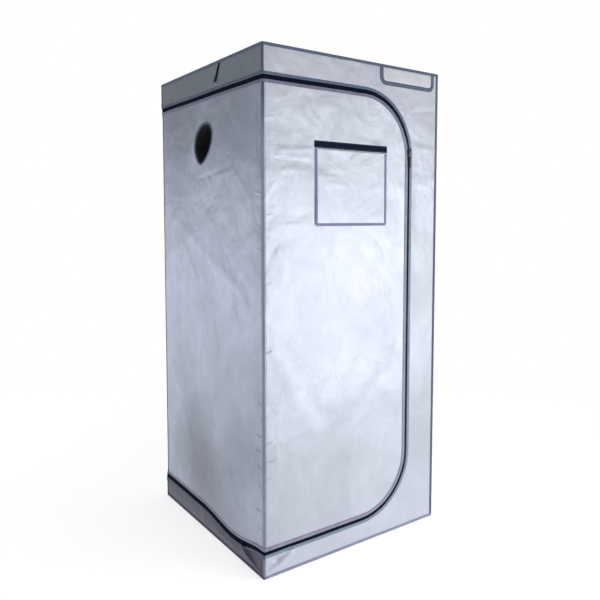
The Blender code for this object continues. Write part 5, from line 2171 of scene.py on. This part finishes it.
@dataclass
class FloorTray:
    """The loose black tray: a sheet folded up into four soft walls."""

    half: float = 0.3786
    low: float = 0.0013
    high: float = 0.0813
    corner: float = 0.016

    def ring(self, half: float, z: float, radius: float, give: float) -> Rows:
        """One closed row round the tray.

        Args:
            half: half the row's width.
            z: its height.
            radius: how round its corners are.
            give: how far its sides may wander inwards.

        Returns:
            The row's points.
        """
        turn, centre = np.linspace(0, math.pi / 2, 9), half - radius
        side = np.linspace(-half + radius, centre, 92)[1:-1]
        arc = np.stack([centre + radius * np.sin(turn), -centre - radius * np.cos(turn)], axis=1)
        run = []
        for k in range(4):
            cos, sin = math.cos(k * math.pi / 2), math.sin(k * math.pi / 2)
            wave = give * (0.5 + 0.5 * RELIEF.noise(side * 7 + 9 * k, side * 0 + z * 14))
            wave *= soft_step(centre - np.abs(side), 0.0, 0.06)
            edge = np.stack([side, -half + wave], axis=1)
            run.append(np.concatenate([edge, arc]) @ np.array([[cos, -sin], [sin, cos]]).T)
        flat = np.concatenate(run)
        return np.column_stack([flat, np.full(len(flat), z)])

    def build(self) -> None:
        """Makes the tray with its hemmed rim."""
        rows = []
        for share in (0.02, *np.linspace(0.08, 0.97, 22)):
            row = self.ring(self.half * share, self.low + 0.0012, self.corner * share, 0.0)
            ripple = 0.0014 * (0.5 + 0.5 * RELIEF.noise(row[:, 0] * 9, row[:, 1] * 9))
            row[:, 2] += ripple * min(1.0, (1 - share) * 12)
            rows.append(row)
        top = self.high - self.low
        foot = [(z, grow, 0.0) for z, grow in ((0.0012, -0.004), (0.0022, -0.0015), (0.005, 0.0))]
        wall = [(z, 0.0, 0.004 * math.sin(math.pi * z / 0.09)) for z in np.linspace(0.012, 0.066, 9)]
        hem = [(z, grow, 0.003) for z, grow in ((0.069, 0.0), (0.0694, -0.0012), (0.07, 0.0), (0.075, 0.0),
                                                (top, 0.0), (top, -0.0014))]
        rows += [self.ring(self.half + grow, self.low + z, self.corner, give)
                 for z, grow, give in foot + wall + hem]
        runs = [with_cross(np.arange(len(row)) * 0.008, 0.01 * k) for k, row in enumerate(rows)]
        piece = loft("floor_tray_cloth", rows, runs, TRAY_CLOTH, closed_section=False, ring=True)
        thicken(piece, 0.001, 1)
        dress([piece], "floor_tray", "floor_cloth", ["floor_tray"])


@dataclass
class Studio:
    """The pale floor, the soft lights and the camera at the photograph's place."""

    eye: Place = (-1.4925, -2.1582, 1.2309)
    yaw: float = 35.17
    pitch: float = 4.134
    lens: float = 37.59
    shift: float = -0.06
    span: float = 14.0
    air: float = 0.2

    def camera(self) -> None:
        """Sets the camera up."""
        data = bpy.data.cameras.new("camera")
        data.lens, data.sensor_width, data.shift_y = self.lens, 36.0, self.shift
        data.clip_start, data.clip_end = 0.05, 100.0
        camera = bpy.data.objects.new("camera", data)
        camera.location = self.eye
        camera.rotation_euler = (math.radians(90 - self.pitch), 0.0, math.radians(-self.yaw))
        bpy.context.collection.objects.link(camera)
        bpy.context.scene.camera = camera

    def light(self, name: str, place: Place, size: float, power: float, colour: Colour) -> None:
        """A square soft light aimed at the tent's middle.

        Args:
            name: the light's name.
            place: where it stands.
            size: its width, in metres.
            power: its power, in watts.
            colour: its colour.
        """
        data = bpy.data.lights.new(name, "AREA")
        data.size, data.energy, data.color = size, power, colour
        lamp = bpy.data.objects.new(name, data)
        lamp.location = place
        aim = Vector((0, 0, PLAN.middle)) - Vector(place)
        lamp.rotation_euler = aim.to_track_quat("-Z", "Y").to_euler()
        bpy.context.collection.objects.link(lamp)

    def build(self) -> None:
        """Makes the floor, the lights and the surroundings."""
        square = oblong(-self.span, self.span, -self.span, self.span)
        corners = np.array([(x, y, 0) for x, y in square], float)
        make_piece("studio_floor", corners, [(0, 1, 2, 3)], StudioPaper(), corners[:, :2])
        self.light("key", (1.55, -2.6, 0.8), 2.0, 36.5, (1.0, 0.99, 0.98))
        self.light("rear_fill", (-1.8, 2.8, 0.8), 1.6, 10, (0.97, 0.98, 1.0))
        self.light("overhead", (0.0, -0.6, 4.6), 3.6, 50, (1.0, 1.0, 1.0))
        world = bpy.data.worlds.new("studio_air")
        world.use_nodes = True
        tree = world.node_tree
        dim, white = tree.nodes["Background"], tree.nodes.new("ShaderNodeBackground")
        for air, strength in ((dim, self.air), (white, 1.0)):
            air.inputs["Strength"].default_value = strength
            air.inputs["Color"].default_value = (1.0, 1.0, 1.0, 1.0)
        both = tree.nodes.new("ShaderNodeMixShader")
        sources = (tree.nodes.new("ShaderNodeLightPath").outputs["Is Camera Ray"], dim.outputs[0],
                   white.outputs[0])
        for source, socket in zip(sources, both.inputs):
            tree.links.new(source, socket)
        tree.links.new(both.outputs[0], tree.nodes["World Output"].inputs[0])
        bpy.context.scene.world = world
        bpy.context.scene.view_settings.view_transform = "Standard"


def main() -> None:
    """Builds the tent piece by piece."""
    logging.basicConfig(level=logging.INFO, format="%(name)s %(message)s")
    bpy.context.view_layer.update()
    studio = Studio()
    studio.camera()
    for part in (Cabinet(), SideDoor(), FrontDoor(), NamePatch(), TieStrap(), Slider(), TubeFrame(),
                 FloorTray(), studio):
        part.build()
        LOG.info("%s is done", type(part).__name__)
    bpy.context.view_layer.update()


if __name__ == "__main__":
    main()
